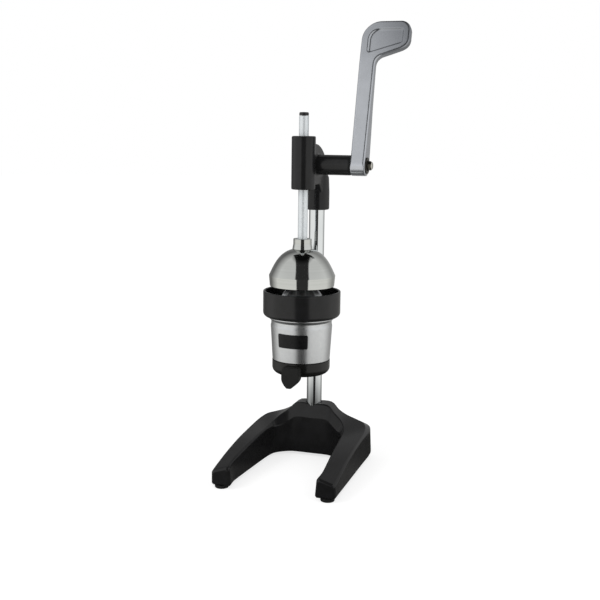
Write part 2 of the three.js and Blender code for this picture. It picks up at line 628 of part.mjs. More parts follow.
// Ram rod with rack teeth cut in its back
// The cutter's outline is a comb of gaps in side view, one gap to a pitch.
function rackCutter() {
  const slope = Math.tan(THREE.MathUtils.degToRad(GEAR_PRESSURE_DEGREES));
  const halfAtPitch = RACK_PITCH / 4 + GEAR_BACKLASH / 4;
  const root = GEAR_ROOT_RADIUS - PITCH_RADIUS + RACK_PITCH_LINE;
  const crest = ROD_RADIUS + OVERRUN;
  const halfAtRoot = halfAtPitch - (RACK_PITCH_LINE - root) * slope;
  const halfAtCrest = halfAtPitch + (ROD_RADIUS - RACK_PITCH_LINE) * slope;
  const low = SHAFT_HEIGHT - (RACK_GAPS_BELOW + 1) * RACK_PITCH;
  const high = SHAFT_HEIGHT + (RACK_GAPS_ABOVE + 1) * RACK_PITCH;
  const points = [[crest, low], [ROD_RADIUS + GAP, low]];
  for (let k = -RACK_GAPS_BELOW; k <= RACK_GAPS_ABOVE; k += 1) {
    const middle = SHAFT_HEIGHT + k * RACK_PITCH;
    points.push([ROD_RADIUS, middle - halfAtCrest], [root, middle - halfAtRoot]);
    points.push([root, middle + halfAtRoot], [ROD_RADIUS, middle + halfAtCrest]);
  }
  points.push([ROD_RADIUS + GAP, high], [crest, high]);
  return extrudeX(shapeOf(points), -ROD_RADIUS - OVERRUN, ROD_RADIUS + OVERRUN);
}

function ramRod() {
  const rod = bar(ROD_RADIUS, ROD_BOTTOM, ROD_TOP);
  const boltHole = bar(DOME_BOLT_RADIUS + GAP, ROD_BOTTOM - OVERRUN, ROD_BOTTOM + DOME_BOLT_GRIP + GAP,
    FACETS_SMALL);
  const capHole = bar(ROD_CAP_SPIGOT_RADIUS + GAP, ROD_TOP - ROD_CAP_SPIGOT_LENGTH - GAP, ROD_TOP + OVERRUN,
    FACETS_SMALL);
  return cut(rod, rackCutter(), boltHole, capHole);
}

// Radius and height along the cap's rounded top edge
const rodCapShares = [[1, 0.6], [0.86, 0.92], [0.6, 1]];

function rodCap() {
  const low = ROD_TOP + GAP;
  const spigotEnd = ROD_TOP - ROD_CAP_SPIGOT_LENGTH;
  const radius = ROD_RADIUS - GAP;
  return turned([
    [0, spigotEnd], [ROD_CAP_SPIGOT_RADIUS, spigotEnd], [ROD_CAP_SPIGOT_RADIUS, low], [radius, low],
    ...rodCapShares.map(([across, up]) => [radius * across, low + ROD_CAP_HEIGHT * up]),
    [0, low + ROD_CAP_HEIGHT],
  ], FACETS_MIDDLE);
}

function rodBush(low) {
  const inner = ROD_RADIUS + GAP;
  return tube(inner + ROD_BUSH_WALL, inner, low, low + ROD_BUSH_LENGTH);
}

// Pinion: involute teeth about the X axis. While the handle leans back, one tooth faces the rack.
const FLANK_STEPS = 2;

function gearOutline() {
  const pressure = THREE.MathUtils.degToRad(GEAR_PRESSURE_DEGREES);
  const base = PITCH_RADIUS * Math.cos(pressure);
  const involute = (angle) => Math.tan(angle) - angle;
  const halfAtPitch = Math.PI / 2 / GEAR_TEETH - GEAR_BACKLASH / 4 / PITCH_RADIUS;
  const halfAngle = (radius) => halfAtPitch + involute(pressure) - involute(Math.acos(base / radius));
  const flank = [[GEAR_ROOT_RADIUS, halfAngle(base)]];
  for (let i = 0; i <= FLANK_STEPS; i += 1) {
    const radius = base + ((GEAR_OUTER_RADIUS - base) * i) / FLANK_STEPS;
    flank.push([radius, halfAngle(radius)]);
  }
  const points = [];
  for (let tooth = 0; tooth < GEAR_TEETH; tooth += 1) {
    const middle = (tooth * 2 * Math.PI) / GEAR_TEETH;
    const rising = flank.map(([radius, half]) => [radius, middle - half]);
    const falling = [...flank].reverse().map(([radius, half]) => [radius, middle + half]);
    for (const [radius, angle] of [...rising, ...falling]) {
      points.push([-radius * Math.cos(angle), radius * Math.sin(angle)]);
    }
  }
  return shapeOf(points.reverse());
}

function pinionGear() {
  const half = GEAR_FACE_WIDTH / 2;
  const wheel = extrudeX(gearOutline(), -half, half).rotate([HANDLE_LEAN_DEGREES, 0, 0]);
  const bore = alongX(bar(SHAFT_RADIUS + GAP, -half - OVERRUN, half + OVERRUN));
  return cut(wheel, bore, keyBlock(GAP, half + OVERRUN));
}

// The key, or with a clearance the keyway for it, on the upper side of the shaft.
function keyBlock(clearance, halfLength) {
  const half = KEY_WIDTH / 2 + clearance;
  const low = SHAFT_RADIUS - KEY_HEIGHT / 2 - clearance;
  const high = SHAFT_RADIUS + KEY_HEIGHT / 2 + clearance;
  return extrudeX(shapeOf([[-half, low], [half, low], [half, high], [-half, high]]), -halfLength, halfLength);
}

function squareBar(side, left, right) {
  const half = side / 2;
  return extrudeX(shapeOf([[-half, -half], [half, -half], [half, half], [-half, half]]), left, right);
}

// The shaft runs from the cap on the left through the pinion and the tube to the handle.
function pinionShaft() {
  const left = CAP_RING_LEFT;
  const round = alongX(bar(SHAFT_RADIUS, left, HANDLE_INNER_FACE, FACETS_MIDDLE, HEAD_EDGE / 2, 0));
  const square = squareBar(SHAFT_SQUARE, SHAFT_TUBE_LENGTH - OVERRUN, HANDLE_OUTER_FACE - GAP);
  const stud = alongX(bar(SHAFT_STUD_RADIUS, SHAFT_TUBE_LENGTH, NUT_FACE + NUT_HEX_HEIGHT, FACETS_SMALL));
  return cut(join(round, square, stud), keyBlock(GAP, GEAR_FACE_WIDTH / 2));
}

function shaftBushRight() {
  const inner = SHAFT_RADIUS + GAP;
  return alongX(tube(inner + BUSH_WALL, inner, SHAFT_TUBE_LENGTH - BUSH_LENGTH, SHAFT_TUBE_LENGTH));
}

function shaftBushLeft() {
  const inner = SHAFT_RADIUS + GAP;
  const right = -GEAR_FACE_WIDTH / 2 - GAP;
  return alongX(tube(inner + BUSH_WALL, inner, CAP_LEFT, right));
}

function gearCap() {
  const bore = SHAFT_RADIUS + GAP + BUSH_WALL + GAP;
  const cap = alongX(tube(CAVITY_RADIUS - GAP, bore, CAP_LEFT, CAP_RIGHT, FACETS_LARGE));
  const rodRoom = bar(ROD_RADIUS + 2 * GAP, -CAVITY_RADIUS, CAVITY_RADIUS).translate([0, -SHAFT_OFFSET, 0]);
  return cut(cap, rodRoom);
}

function capRing() {
  const outer = CAVITY_RADIUS + CAP_RING_WIDTH / 2 - GAP;
  const right = CAP_RING_LEFT + CAP_RING_THICKNESS;
  const ring = tube(outer, outer - CAP_RING_WIDTH, CAP_RING_LEFT, right, FACETS_LARGE);
  const half = THREE.MathUtils.degToRad(CAP_RING_GAP_DEGREES / 2);
  const far = 2 * outer;
  const wedge = extrudeZ(shapeOf([[0, 0], [far * Math.cos(half), -far * Math.sin(half)],
    [far * Math.cos(half), far * Math.sin(half)]]), CAP_RING_LEFT - OVERRUN, right + OVERRUN);
  return alongX(cut(ring, wedge));
}

// Handle: a flat-fronted arm with a boss for the shaft and a paddle-shaped grip.
// In the handle's own frame the shaft runs along X through the origin and the arm points up.
// Corners of the grip as shares of its end radius, and the waist's height as a share of the elbow's
const gripCornerShares = { start: 1.1, rise: 0.06, low: 0.4, lift: 0.2, side: 0.5, end: 1.2 };
const waistShares = { height: 0.55, bulge: 0.72, bulgeHeight: 0.25 };

function handleOutline() {
  const left = HANDLE_INNER_FACE;
  const neck = HANDLE_OUTER_FACE;
  const right = neck + PADDLE_OVERHANG;
  const low = HANDLE_REACH - PADDLE_HEIGHT;
  const elbow = low - PADDLE_DROP;
  const fall = PADDLE_DROP / PADDLE_OVERHANG;
  const end = PADDLE_END_RADIUS;
  const outer = PADDLE_OUTER_RADIUS;
  const corner = gripCornerShares;
  const shape = new THREE.Shape();
  shape.moveTo(left, -HANDLE_BOSS_RADIUS);
  shape.lineTo(neck, -HANDLE_BOSS_RADIUS);
  shape.lineTo(neck, elbow - PADDLE_ELBOW);
  shape.quadraticCurveTo(neck, elbow, neck + PADDLE_ELBOW, elbow + PADDLE_ELBOW * fall);
  shape.lineTo(right - end * corner.start, low - PADDLE_DROP * corner.rise);
  shape.bezierCurveTo(right - end * corner.low, low + end * corner.lift, right, low + end * corner.side,
    right, low + end * corner.end);
  shape.lineTo(right, HANDLE_REACH - end);
  shape.absarc(right - end, HANDLE_REACH - end, end, 0, Math.PI / 2, false);
  shape.lineTo(left - HANDLE_FLARE + outer, HANDLE_REACH);
  shape.absarc(left - HANDLE_FLARE + outer, HANDLE_REACH - outer, outer, Math.PI / 2, Math.PI, false);
  shape.lineTo(left - HANDLE_FLARE, elbow - PADDLE_ELBOW);
  shape.lineTo(left, HANDLE_BOSS_RADIUS);
  return shape;
}

function handleSide() {
  const front = -HANDLE_BOSS_RADIUS;
  const elbow = HANDLE_REACH - PADDLE_HEIGHT - PADDLE_DROP - PADDLE_ELBOW;
  const waist = waistShares;
  const shape = new THREE.Shape();
  shape.moveTo(front, HANDLE_REACH);
  shape.lineTo(front, 0);
  shape.absarc(0, 0, HANDLE_BOSS_RADIUS, Math.PI, 2 * Math.PI, false);
  shape.quadraticCurveTo(HANDLE_BOSS_RADIUS * waist.bulge, elbow * waist.bulgeHeight,
    front + HANDLE_WAIST_THICKNESS, elbow * waist.height);
  shape.lineTo(front + HANDLE_GRIP_THICKNESS, elbow);
  shape.lineTo(front + HANDLE_GRIP_THICKNESS, HANDLE_REACH);
  return shape;
}

// The shallow recess in the front of the grip, a rim's width inside the outline.
function recessOutline() {
  const left = HANDLE_INNER_FACE - HANDLE_FLARE + PADDLE_RIM;
  const right = HANDLE_OUTER_FACE + PADDLE_OVERHANG - PADDLE_RIM;
  const top = HANDLE_REACH - PADDLE_RIM;
  const low = HANDLE_REACH - PADDLE_HEIGHT + PADDLE_RIM;
  const outer = PADDLE_OUTER_RADIUS - PADDLE_RIM;
  const end = PADDLE_END_RADIUS - PADDLE_RIM;
  const shape = new THREE.Shape();
  shape.moveTo(left + end, low - PADDLE_DROP);
  shape.lineTo(right - end, low + end / 2);
  shape.quadraticCurveTo(right, low + end, right, low + 2 * end);
  shape.lineTo(right, top - end);
  shape.quadraticCurveTo(right, top, right - end, top);
  shape.lineTo(left + outer, top);
  shape.quadraticCurveTo(left, top, left, top - outer);
  shape.lineTo(left, low - PADDLE_DROP + end);
  shape.quadraticCurveTo(left, low - PADDLE_DROP, left + end, low - PADDLE_DROP);
  return shape;
}

function handleArm() {
  const front = -HANDLE_BOSS_RADIUS;
  const face = extrudeY(handleOutline(), front + HANDLE_EDGE, HANDLE_BOSS_RADIUS + HANDLE_EDGE + OVERRUN,
    { ...bevel(HANDLE_EDGE, 8), bevelSegments: 2 });
  const side = extrudeX(handleSide(), HANDLE_INNER_FACE - HANDLE_FLARE - OVERRUN,
    HANDLE_OUTER_FACE + PADDLE_OVERHANG + OVERRUN, { curveSegments: 10 });
  const recess = extrudeY(recessOutline(), front - OVERRUN, front + PADDLE_RECESS_DEPTH,
    { curveSegments: 4 });
  const squareHole = squareBar(SHAFT_SQUARE + 2 * GAP, HANDLE_INNER_FACE - OVERRUN,
    HANDLE_OUTER_FACE + OVERRUN);
  return cut(face.intersect(side), recess, squareHole);
}

function handleWasher() {
  const inner = SHAFT_STUD_RADIUS + GAP;
  return alongX(tube(inner + HANDLE_WASHER_WIDTH, inner, WASHER_FACE, WASHER_FACE + HANDLE_WASHER_THICKNESS));
}

function lockWasher() {
  const inner = SHAFT_STUD_RADIUS + GAP;
  const outer = inner + LOCK_WASHER_WIDTH;
  const right = LOCK_WASHER_FACE + LOCK_WASHER_THICKNESS;
  const half = LOCK_WASHER_SPLIT / 2;
  const split = extrudeZ(shapeOf([[0, -half], [2 * outer, -half], [2 * outer, half], [0, half]]),
    LOCK_WASHER_FACE - OVERRUN, right + OVERRUN);
  return alongX(cut(tube(outer, inner, LOCK_WASHER_FACE, right), split));
}

// Radius and height along the nut's dome
const nutDomeShares = [[1, 0], [0.85, 0.6], [0.45, 0.94]];

function handleNut() {
  const hexEnd = NUT_FACE + NUT_HEX_HEIGHT;
  const hex = bar(NUT_ACROSS_FLATS / Math.sqrt(3), NUT_FACE, hexEnd, FACETS_HEX);
  const dome = turned([
    [0, NUT_FACE], [NUT_DOME_RADIUS, NUT_FACE],
    ...nutDomeShares.map(([across, up]) => [NUT_DOME_RADIUS * across, hexEnd + NUT_DOME_HEIGHT * up]),
    [0, hexEnd + NUT_DOME_HEIGHT],
  ], FACETS_MIDDLE);
  const hole = bar(SHAFT_STUD_RADIUS + GAP, NUT_FACE - OVERRUN, hexEnd + GAP, FACETS_SMALL);
  return alongX(cut(join(hex, dome), hole));
}

// Pressing dome: a spun shell with an upright band at its rim
const DOME_STEPS = 5;

// Points up the flank, from the band to the flat top, bowed out by the crown.
function domeFlank(radius, top) {
  const bandTop = DOME_RIM + DOME_BAND_HEIGHT;
  const run = radius - DOME_TOP_RADIUS;
  const rise = top - bandTop;
  const length = Math.hypot(run, rise);
  const points = [];
  for (let i = 0; i <= DOME_STEPS; i += 1) {
    const t = i / DOME_STEPS;
    const bulge = 4 * DOME_CROWN * t * (1 - t);
    points.push([radius - run * t + (bulge * rise) / length, bandTop + rise * t + (bulge * run) / length]);
  }
  return points;
}

function dome() {
  const hole = DOME_BOLT_RADIUS + GAP;
  const inside = DOME_RADIUS - DOME_WALL;
  const underTop = DOME_TOP - DOME_WALL;
  return turnedRing([
    [DOME_RADIUS, DOME_RIM], ...domeFlank(DOME_RADIUS, DOME_TOP), [hole, DOME_TOP],
    [hole, underTop], ...domeFlank(inside, underTop).reverse(), [inside, DOME_RIM],
  ]);
}

// The collar's waist and its top edge as shares of its height
const collarShares = { flare: 0.12, waist: 0.45, edge: 0.06 };

function domeCollar() {
  const low = DOME_TOP + GAP;
  const top = low + COLLAR_HEIGHT;
  const edge = COLLAR_HEIGHT * collarShares.edge;
  const bore = ROD_RADIUS + GAP;
  const hole = DOME_BOLT_RADIUS + GAP;
  const seat = low + COLLAR_FLOOR;
  return turnedRing([
    [hole, low], [COLLAR_BOTTOM_RADIUS, low],
    [COLLAR_BOTTOM_RADIUS, low + COLLAR_HEIGHT * collarShares.flare],
    [COLLAR_TOP_RADIUS, low + COLLAR_HEIGHT * collarShares.waist],
    [COLLAR_TOP_RADIUS, top - edge], [COLLAR_TOP_RADIUS - edge, top], [bore, top], [bore, seat], [hole, seat],
  ], FACETS_MIDDLE);
}

function domeWasher() {
  const top = DOME_TOP - DOME_WALL - GAP;
  const inner = DOME_BOLT_RADIUS + GAP;
  return tube(inner + DOME_WASHER_WIDTH, inner, top - DOME_WASHER_THICKNESS, top);
}

function domeBolt() {
  const under = DOME_TOP - DOME_WALL - GAP - DOME_WASHER_THICKNESS - GAP;
  return headedScrew(DOME_BOLT_RADIUS, ROD_BOTTOM + DOME_BOLT_GRIP, under, DOME_BOLT_HEAD_RADIUS,
    DOME_BOLT_HEAD_HEIGHT, FACETS_HEX);
}

// Points of a quarter round from below to the side, for turned profiles.
const ROUND_STEPS = 3;

function quarterRound(centreRadius, centreHeight, radius) {
  const points = [];
  for (let i = 0; i <= ROUND_STEPS; i += 1) {
    const angle = (i / ROUND_STEPS) * (Math.PI / 2);
    points.push([centreRadius + radius * Math.sin(angle), centreHeight - radius * Math.cos(angle)]);
  }
  return points;
}

// Ring that carries the cup, with a boss that grips the column
function ringHolder() {
  const hole = CUP_RADIUS + 2 * GAP;
  const round = quarterRound(RING_RADIUS - RING_BOTTOM_ROUND, RING_BOTTOM + RING_BOTTOM_ROUND,
    RING_BOTTOM_ROUND).filter(([radius]) => radius > hole);
  const band = turnedRing([
    [hole, RING_BOTTOM], ...round,
    [RING_RADIUS, RING_TOP - HEAD_EDGE], [RING_RADIUS - HEAD_EDGE, RING_TOP],
    [RING_RADIUS - RING_LIP, RING_TOP], [RING_INSIDE, RING_LEDGE + RING_LEDGE_ROOM],
    [RING_INSIDE, RING_LEDGE], [hole, RING_LEDGE],
  ]);
  const bossRadius = COLUMN_RADIUS + RING_BOSS_WALL;
  const bossLow = RING_TOP - (RING_HEIGHT + RING_BOSS_DEPTH) / 2;
  const boss = bar(bossRadius, bossLow, bossLow + RING_BOSS_DEPTH, FACETS_MIDDLE, HEAD_EDGE, HEAD_EDGE)
    .translate([0, COLUMN_OFFSET, 0]);
  const inside = bar(RING_INSIDE + HEAD_EDGE, RING_BOTTOM - OVERRUN, RING_TOP + OVERRUN, FACETS_LARGE);
  const bore = bar(COLUMN_RADIUS + GAP, RING_BOTTOM - OVERRUN, RING_TOP + OVERRUN)
    .translate([0, COLUMN_OFFSET, 0]);
  let holder = cut(join(band, cut(boss, inside)), bore);
  const screwHole = alongY(bar(SET_SCREW_RADIUS + GAP, COLUMN_RADIUS, bossRadius + OVERRUN, FACETS_SMALL));
  for (const height of ringScrewHeights()) {
    holder = cut(holder, screwHole.translate([0, COLUMN_OFFSET, height]));
  }
  return holder;
}

function ringScrewHeights() {
  const middle = RING_TOP - RING_HEIGHT / 2;
  return [middle - RING_BOSS_DEPTH / 4, middle + RING_BOSS_DEPTH / 4];
}

// Cup: a drawn sheet sleeve with a flange on top, a rolled groove and a lip below
function cup() {
  const groove = CUP_RADIUS - CUP_GROOVE_DEPTH;
  const grooveLow = RING_BOTTOM - CUP_GROOVE_WIDTH - CUP_GROOVE_DEPTH;
  const outer = [
    [CUP_FOOT_RADIUS, CUP_BOTTOM], [groove + CUP_GROOVE_DEPTH * CUP_GROOVE_RETURN_SHARE, grooveLow],
    [groove, grooveLow + CUP_GROOVE_DEPTH], [groove, RING_BOTTOM - CUP_GROOVE_DEPTH],
    [CUP_RADIUS, RING_BOTTOM], [CUP_RADIUS, RING_LEDGE + GAP],
  ];
  const inner = outer.map(([radius, height]) => [radius - CUP_SHEET, height]).reverse();
  inner[0] = [CUP_RADIUS - CUP_SHEET, CUP_FLANGE_TOP];
  inner[inner.length - 1] = [CUP_FOOT_RADIUS - CUP_SHEET, CUP_BOTTOM + CUP_SHEET];
  const lip = CUP_FOOT_RADIUS - CUP_BOTTOM_LIP;
  return turnedRing([
    ...outer, [CUP_FLANGE_RADIUS, RING_LEDGE + GAP], [CUP_FLANGE_RADIUS, CUP_FLANGE_TOP],
    ...inner, [lip, CUP_BOTTOM + CUP_SHEET], [lip, CUP_BOTTOM],
  ]);
}

// Spout tray: a shallow moulded bowl under the cup, with a hooded spout at the front
// Half width and height down one side of the spout, from its shoulder to its tip
const spoutSideShares = [[1, 0], [0.93, 0.28], [0.76, 0.6], [0.52, 0.86]];

function spoutTray() {
  const spigotRadius = CUP_FOOT_RADIUS - CUP_BOTTOM_LIP - GAP;
  const spigotTop = TRAY_TOP + GAP + CUP_SHEET + TRAY_SPIGOT_HEIGHT;
  const bowl = turned([
    [0, TRAY_BOTTOM], ...quarterRound(TRAY_RADIUS - TRAY_CORNER, TRAY_BOTTOM + TRAY_CORNER, TRAY_CORNER),
    [TRAY_RADIUS, TRAY_TOP], [spigotRadius, TRAY_TOP], [spigotRadius, spigotTop], [0, spigotTop],
  ]);
  const top = TRAY_TOP - SPOUT_TOP_DROP;
  const shoulder = TRAY_BOTTOM + TRAY_WALL;
  const tip = TRAY_BOTTOM - SPOUT_DROP;
  const rightSide = spoutSideShares.map(([across, down]) => [
    SPOUT_HALF_WIDTH * across, shoulder + (tip - shoulder) * down,
  ]);
  const mirrored = rightSide.map(([x, z]) => [-x, z]).reverse();
  const block = extrudeY(shapeOf([
    [-SPOUT_TIP_HALF_WIDTH, tip], [SPOUT_TIP_HALF_WIDTH, tip], ...[...rightSide].reverse(),
    [SPOUT_HALF_WIDTH, top], [-SPOUT_HALF_WIDTH, top], ...[...mirrored].reverse(),
  ]), -SPOUT_FRONT, -TRAY_RADIUS / 2);
  const side = extrudeX(shapeOf([
    [-TRAY_RADIUS / 2, top], [-SPOUT_FRONT + SPOUT_FACE_LEAN, top], [-SPOUT_FRONT, tip],
    [-SPOUT_FRONT + 2 * (SPOUT_CHANNEL_RADIUS + TRAY_WALL), tip],
    [-TRAY_RADIUS + TRAY_CORNER, TRAY_BOTTOM + GAP], [-TRAY_RADIUS / 2, TRAY_BOTTOM + GAP],
  ]), -SPOUT_HALF_WIDTH - OVERRUN, SPOUT_HALF_WIDTH + OVERRUN);
  const body = join(bowl, block.intersect(side));

  const corner = TRAY_CORNER - TRAY_WALL;
  const floor = TRAY_BOTTOM + TRAY_WALL;
  const inside = turned([
    [0, floor], ...quarterRound(TRAY_RADIUS - TRAY_CORNER, floor + corner, corner),
    [TRAY_RADIUS - TRAY_WALL, TRAY_TOP - TRAY_WALL], [spigotRadius - TRAY_SPIGOT_WALL, TRAY_TOP - TRAY_WALL],
    [spigotRadius - TRAY_SPIGOT_WALL, spigotTop + OVERRUN], [0, spigotTop + OVERRUN],
  ]);
  const start = new THREE.Vector3(0, -TRAY_RADIUS + TRAY_CORNER, floor + SPOUT_CHANNEL_RADIUS);
  const end = new THREE.Vector3(0, -SPOUT_FRONT + TRAY_WALL + SPOUT_CHANNEL_RADIUS, tip - OVERRUN);
  const path = new THREE.QuadraticBezierCurve3(start, new THREE.Vector3(0, end.y, start.z), end);
  const round = new THREE.Shape().absarc(0, 0, SPOUT_CHANNEL_RADIUS, 0, 2 * Math.PI, false);
  const channel = solid(new THREE.ExtrudeGeometry(round, {
    steps: 6, curveSegments: 6, bevelEnabled: false, extrudePath: path,
  }));
  return cut(body, inside, channel);
}

// Strainer: a flanged shallow bowl with a ring of radial slots in its floor
function strainer() {
  const sheet = STRAINER_SHEET;
  const flange = CUP_FLANGE_RADIUS - GAP;
  const bowl = STRAINER_BOWL_RADIUS;
  const low = STRAINER_FLOOR;
  const hole = REAMER_SCREW_RADIUS + GAP;
  const plate = turnedRing([
    [hole, low], [bowl - sheet, low], [bowl, low + sheet], [bowl, STRAINER_TOP - sheet],
    [flange, STRAINER_TOP - sheet], [flange, STRAINER_TOP], [bowl - sheet, STRAINER_TOP],
    [bowl - sheet, low + 2 * sheet], [bowl - 2 * sheet, low + sheet], [hole, low + sheet],
  ]);
  const outerEnd = bowl - 2 * sheet;
  const innerEnd = outerEnd - STRAINER_SLOT_LENGTH;
  const half = STRAINER_SLOT_WIDTH / 2;
  const slot = extrudeZ(shapeOf([[innerEnd, -half], [outerEnd, -half], [outerEnd, half], [innerEnd, half]]),
    low - OVERRUN, low + sheet + OVERRUN);
  let slots = slot;
  for (let i = 1; i < STRAINER_SLOTS; i += 1) {
    slots = join(slots, slot.rotate([0, 0, (360 * i) / STRAINER_SLOTS]));
  }
  return cut(plate, slots);
}

// Reamer: a hollow ribbed cone whose ridges run from its foot to its tip
// Radius and height up the ridges
const reamerProfileShares = [
  [1, 0], [0.98, 0.16], [0.92, 0.34], [0.82, 0.52], [0.66, 0.7], [0.46, 0.86], [0.24, 0.96], [0.08, 1],
];
const POINTS_PER_RIDGE = 4;

function reamerCone() {
  const count = REAMER_RIDGES * POINTS_PER_RIDGE;
  const rings = reamerProfileShares.map(([radiusShare, heightShare]) => {
    const ring = [];
    for (let i = 0; i < count; i += 1) {
      const phase = (i % POINTS_PER_RIDGE) / POINTS_PER_RIDGE;
      const valley = Math.sin(Math.PI * phase) * REAMER_RIDGE_DEPTH_SHARE;
      const radius = REAMER_RADIUS * radiusShare * (1 - valley);
      const angle = (2 * Math.PI * i) / count;
      const height = REAMER_FOOT + REAMER_HEIGHT * heightShare;
      ring.push([radius * Math.cos(angle), radius * Math.sin(angle), height]);
    }
    return ring;
  });
  const hollowRadius = REAMER_RADIUS * (1 - REAMER_RIDGE_DEPTH_SHARE) - REAMER_WALL;
  const hollowHeight = REAMER_HEIGHT - REAMER_WALL;
  const hollow = turned([
    [0, REAMER_FOOT - OVERRUN], [hollowRadius, REAMER_FOOT - OVERRUN],
    ...reamerProfileShares.slice(1, -1).map(([radiusShare, heightShare]) => [
      hollowRadius * radiusShare, REAMER_FOOT + hollowHeight * heightShare,
    ]),
    [0, REAMER_FOOT + hollowHeight],
  ], FACETS_MIDDLE);
  const post = bar(REAMER_POST_RADIUS, REAMER_FOOT, REAMER_FOOT + hollowHeight, FACETS_SMALL);
  const screwHole = bar(REAMER_SCREW_RADIUS + GAP, REAMER_FOOT - OVERRUN,
    REAMER_FOOT + REAMER_SCREW_GRIP + GAP, FACETS_SMALL);
  return cut(loft(rings), cut(hollow, post), screwHole);
}

function reamerScrew() {
  return headedScrew(REAMER_SCREW_RADIUS, REAMER_FOOT + REAMER_SCREW_GRIP, STRAINER_FLOOR - GAP,
    REAMER_SCREW_HEAD_RADIUS, REAMER_SCREW_HEAD_HEIGHT, FACETS_SMALL);
}

// Fixed pieces
const frame = new THREE.Group();
piece(frame, "base_casting", baseCasting(), "blackPaint");
for (const [place, x, y] of footPlaces()) {
  piece(frame, `foot_pad_${place}`, footPad(), "rubber").position.set(x, y, 0);
  piece(frame, `foot_screw_${place}`, footScrew(), "steel").position.set(x, y, 0);
}
piece(frame, "column", column(), "chrome");
piece(frame, "column_washer", columnWasher(), "steel");
piece(frame, "column_bolt", columnBolt(), "steel");
piece(frame, "head_casting", headCasting(), "blackPaint");
piece(frame, "rod_bush_upper", rodBush(GUIDE_TOP - ROD_BUSH_LENGTH), "bronze");
piece(frame, "rod_bush_lower", rodBush(GUIDE_BOTTOM), "bronze");
const [lowerHeadScrew, upperHeadScrew] = headScrewHeights();
const headScrew = setScrew(PAD_REAR - COLUMN_OFFSET - COLUMN_RADIUS - GAP);
piece(frame, "head_set_screw_lower", headScrew, "steel").position.set(0, 0, lowerHeadScrew);
piece(frame, "head_set_screw_upper", headScrew, "steel").position.set(0, 0, upperHeadScrew);
piece(frame, "ring_holder", ringHolder(), "blackPaint");
const [lowerRingScrew, upperRingScrew] = ringScrewHeights();
const ringScrew = setScrew(RING_BOSS_WALL - GAP);
piece(frame, "ring_set_screw_lower", ringScrew, "steel").position.set(0, 0, lowerRingScrew);
piece(frame, "ring_set_screw_upper", ringScrew, "steel").position.set(0, 0, upperRingScrew);

// Fixed pieces round the shaft's axis
const housing = new THREE.Group();
housing.position.set(0, SHAFT_OFFSET, SHAFT_HEIGHT);
frame.add(housing);
piece(housing, "shaft_bush_right", shaftBushRight(), "bronze");
piece(housing, "shaft_bush_left", shaftBushLeft(), "bronze");
piece(housing, "gear_cap", gearCap(), "blackPaint");
piece(housing, "cap_ring", capRing(), "steel");

// Turning pieces round the shaft's axis, leaning back with the handle
const crank = new THREE.Group();
crank.position.set(0, SHAFT_OFFSET, SHAFT_HEIGHT);
crank.rotation.x = -LEAN;
piece(crank, "pinion_gear", pinionGear(), "steel");
piece(crank, "pinion_key", keyBlock(0, GEAR_FACE_WIDTH / 2 - GAP), "steel");
piece(crank, "pinion_shaft", pinionShaft(), "steel");
piece(crank, "handle_arm", handleArm(), "silverPaint");
piece(crank, "handle_washer", handleWasher(), "steel");
piece(crank, "handle_lock_washer", lockWasher(), "steel");
piece(crank, "handle_nut", handleNut(), "chrome");

// Ram
const ram = new THREE.Group();
piece(ram, "ram_rod", ramRod(), "chrome");
piece(ram, "rod_cap", rodCap(), "blackPlastic");
piece(ram, "dome", dome(), "stainless");
piece(ram, "dome_collar", domeCollar(), "stainless");
piece(ram, "dome_washer", domeWasher(), "steel");
piece(ram, "dome_bolt", domeBolt(), "steel");

// Cup, tray, strainer and reamer
const vessel = new THREE.Group();
piece(vessel, "cup", cup(), "stainless");
piece(vessel, "spout_tray", spoutTray(), "blackPlastic");
piece(vessel, "strainer", strainer(), "stainless");
piece(vessel, "reamer_cone", reamerCone(), "aluminium");
piece(vessel, "reamer_screw", reamerScrew(), "steel");

// The whole press, moved so that its origin is under the middle of its outer box
const press = new THREE.Group();
press.add(frame, crank, ram, vessel);
press.updateMatrixWorld(true);
const box = new THREE.Box3().setFromObject(press, true);
press.position.set(-(box.min.x + box.max.x) / 2, -(box.min.y + box.max.y) / 2, -box.min.z);

export default press;
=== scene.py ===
import math

import bmesh
import bpy
from mathutils import Matrix, Vector


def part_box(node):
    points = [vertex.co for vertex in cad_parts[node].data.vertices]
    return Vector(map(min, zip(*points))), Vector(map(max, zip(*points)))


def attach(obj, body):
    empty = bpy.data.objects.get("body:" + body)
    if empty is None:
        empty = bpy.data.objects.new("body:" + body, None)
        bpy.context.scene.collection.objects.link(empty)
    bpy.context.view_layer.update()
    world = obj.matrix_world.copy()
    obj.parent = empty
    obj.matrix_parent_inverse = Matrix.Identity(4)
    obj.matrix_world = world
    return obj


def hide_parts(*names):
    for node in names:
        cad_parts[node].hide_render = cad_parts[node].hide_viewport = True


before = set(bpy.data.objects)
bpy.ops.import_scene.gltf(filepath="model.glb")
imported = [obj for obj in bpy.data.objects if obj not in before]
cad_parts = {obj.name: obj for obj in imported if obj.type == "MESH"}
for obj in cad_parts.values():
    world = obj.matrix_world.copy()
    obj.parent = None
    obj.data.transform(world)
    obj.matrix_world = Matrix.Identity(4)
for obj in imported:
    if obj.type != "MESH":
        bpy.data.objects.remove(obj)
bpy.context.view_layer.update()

scene = bpy.context.scene
scene.view_settings.view_transform = "Standard"

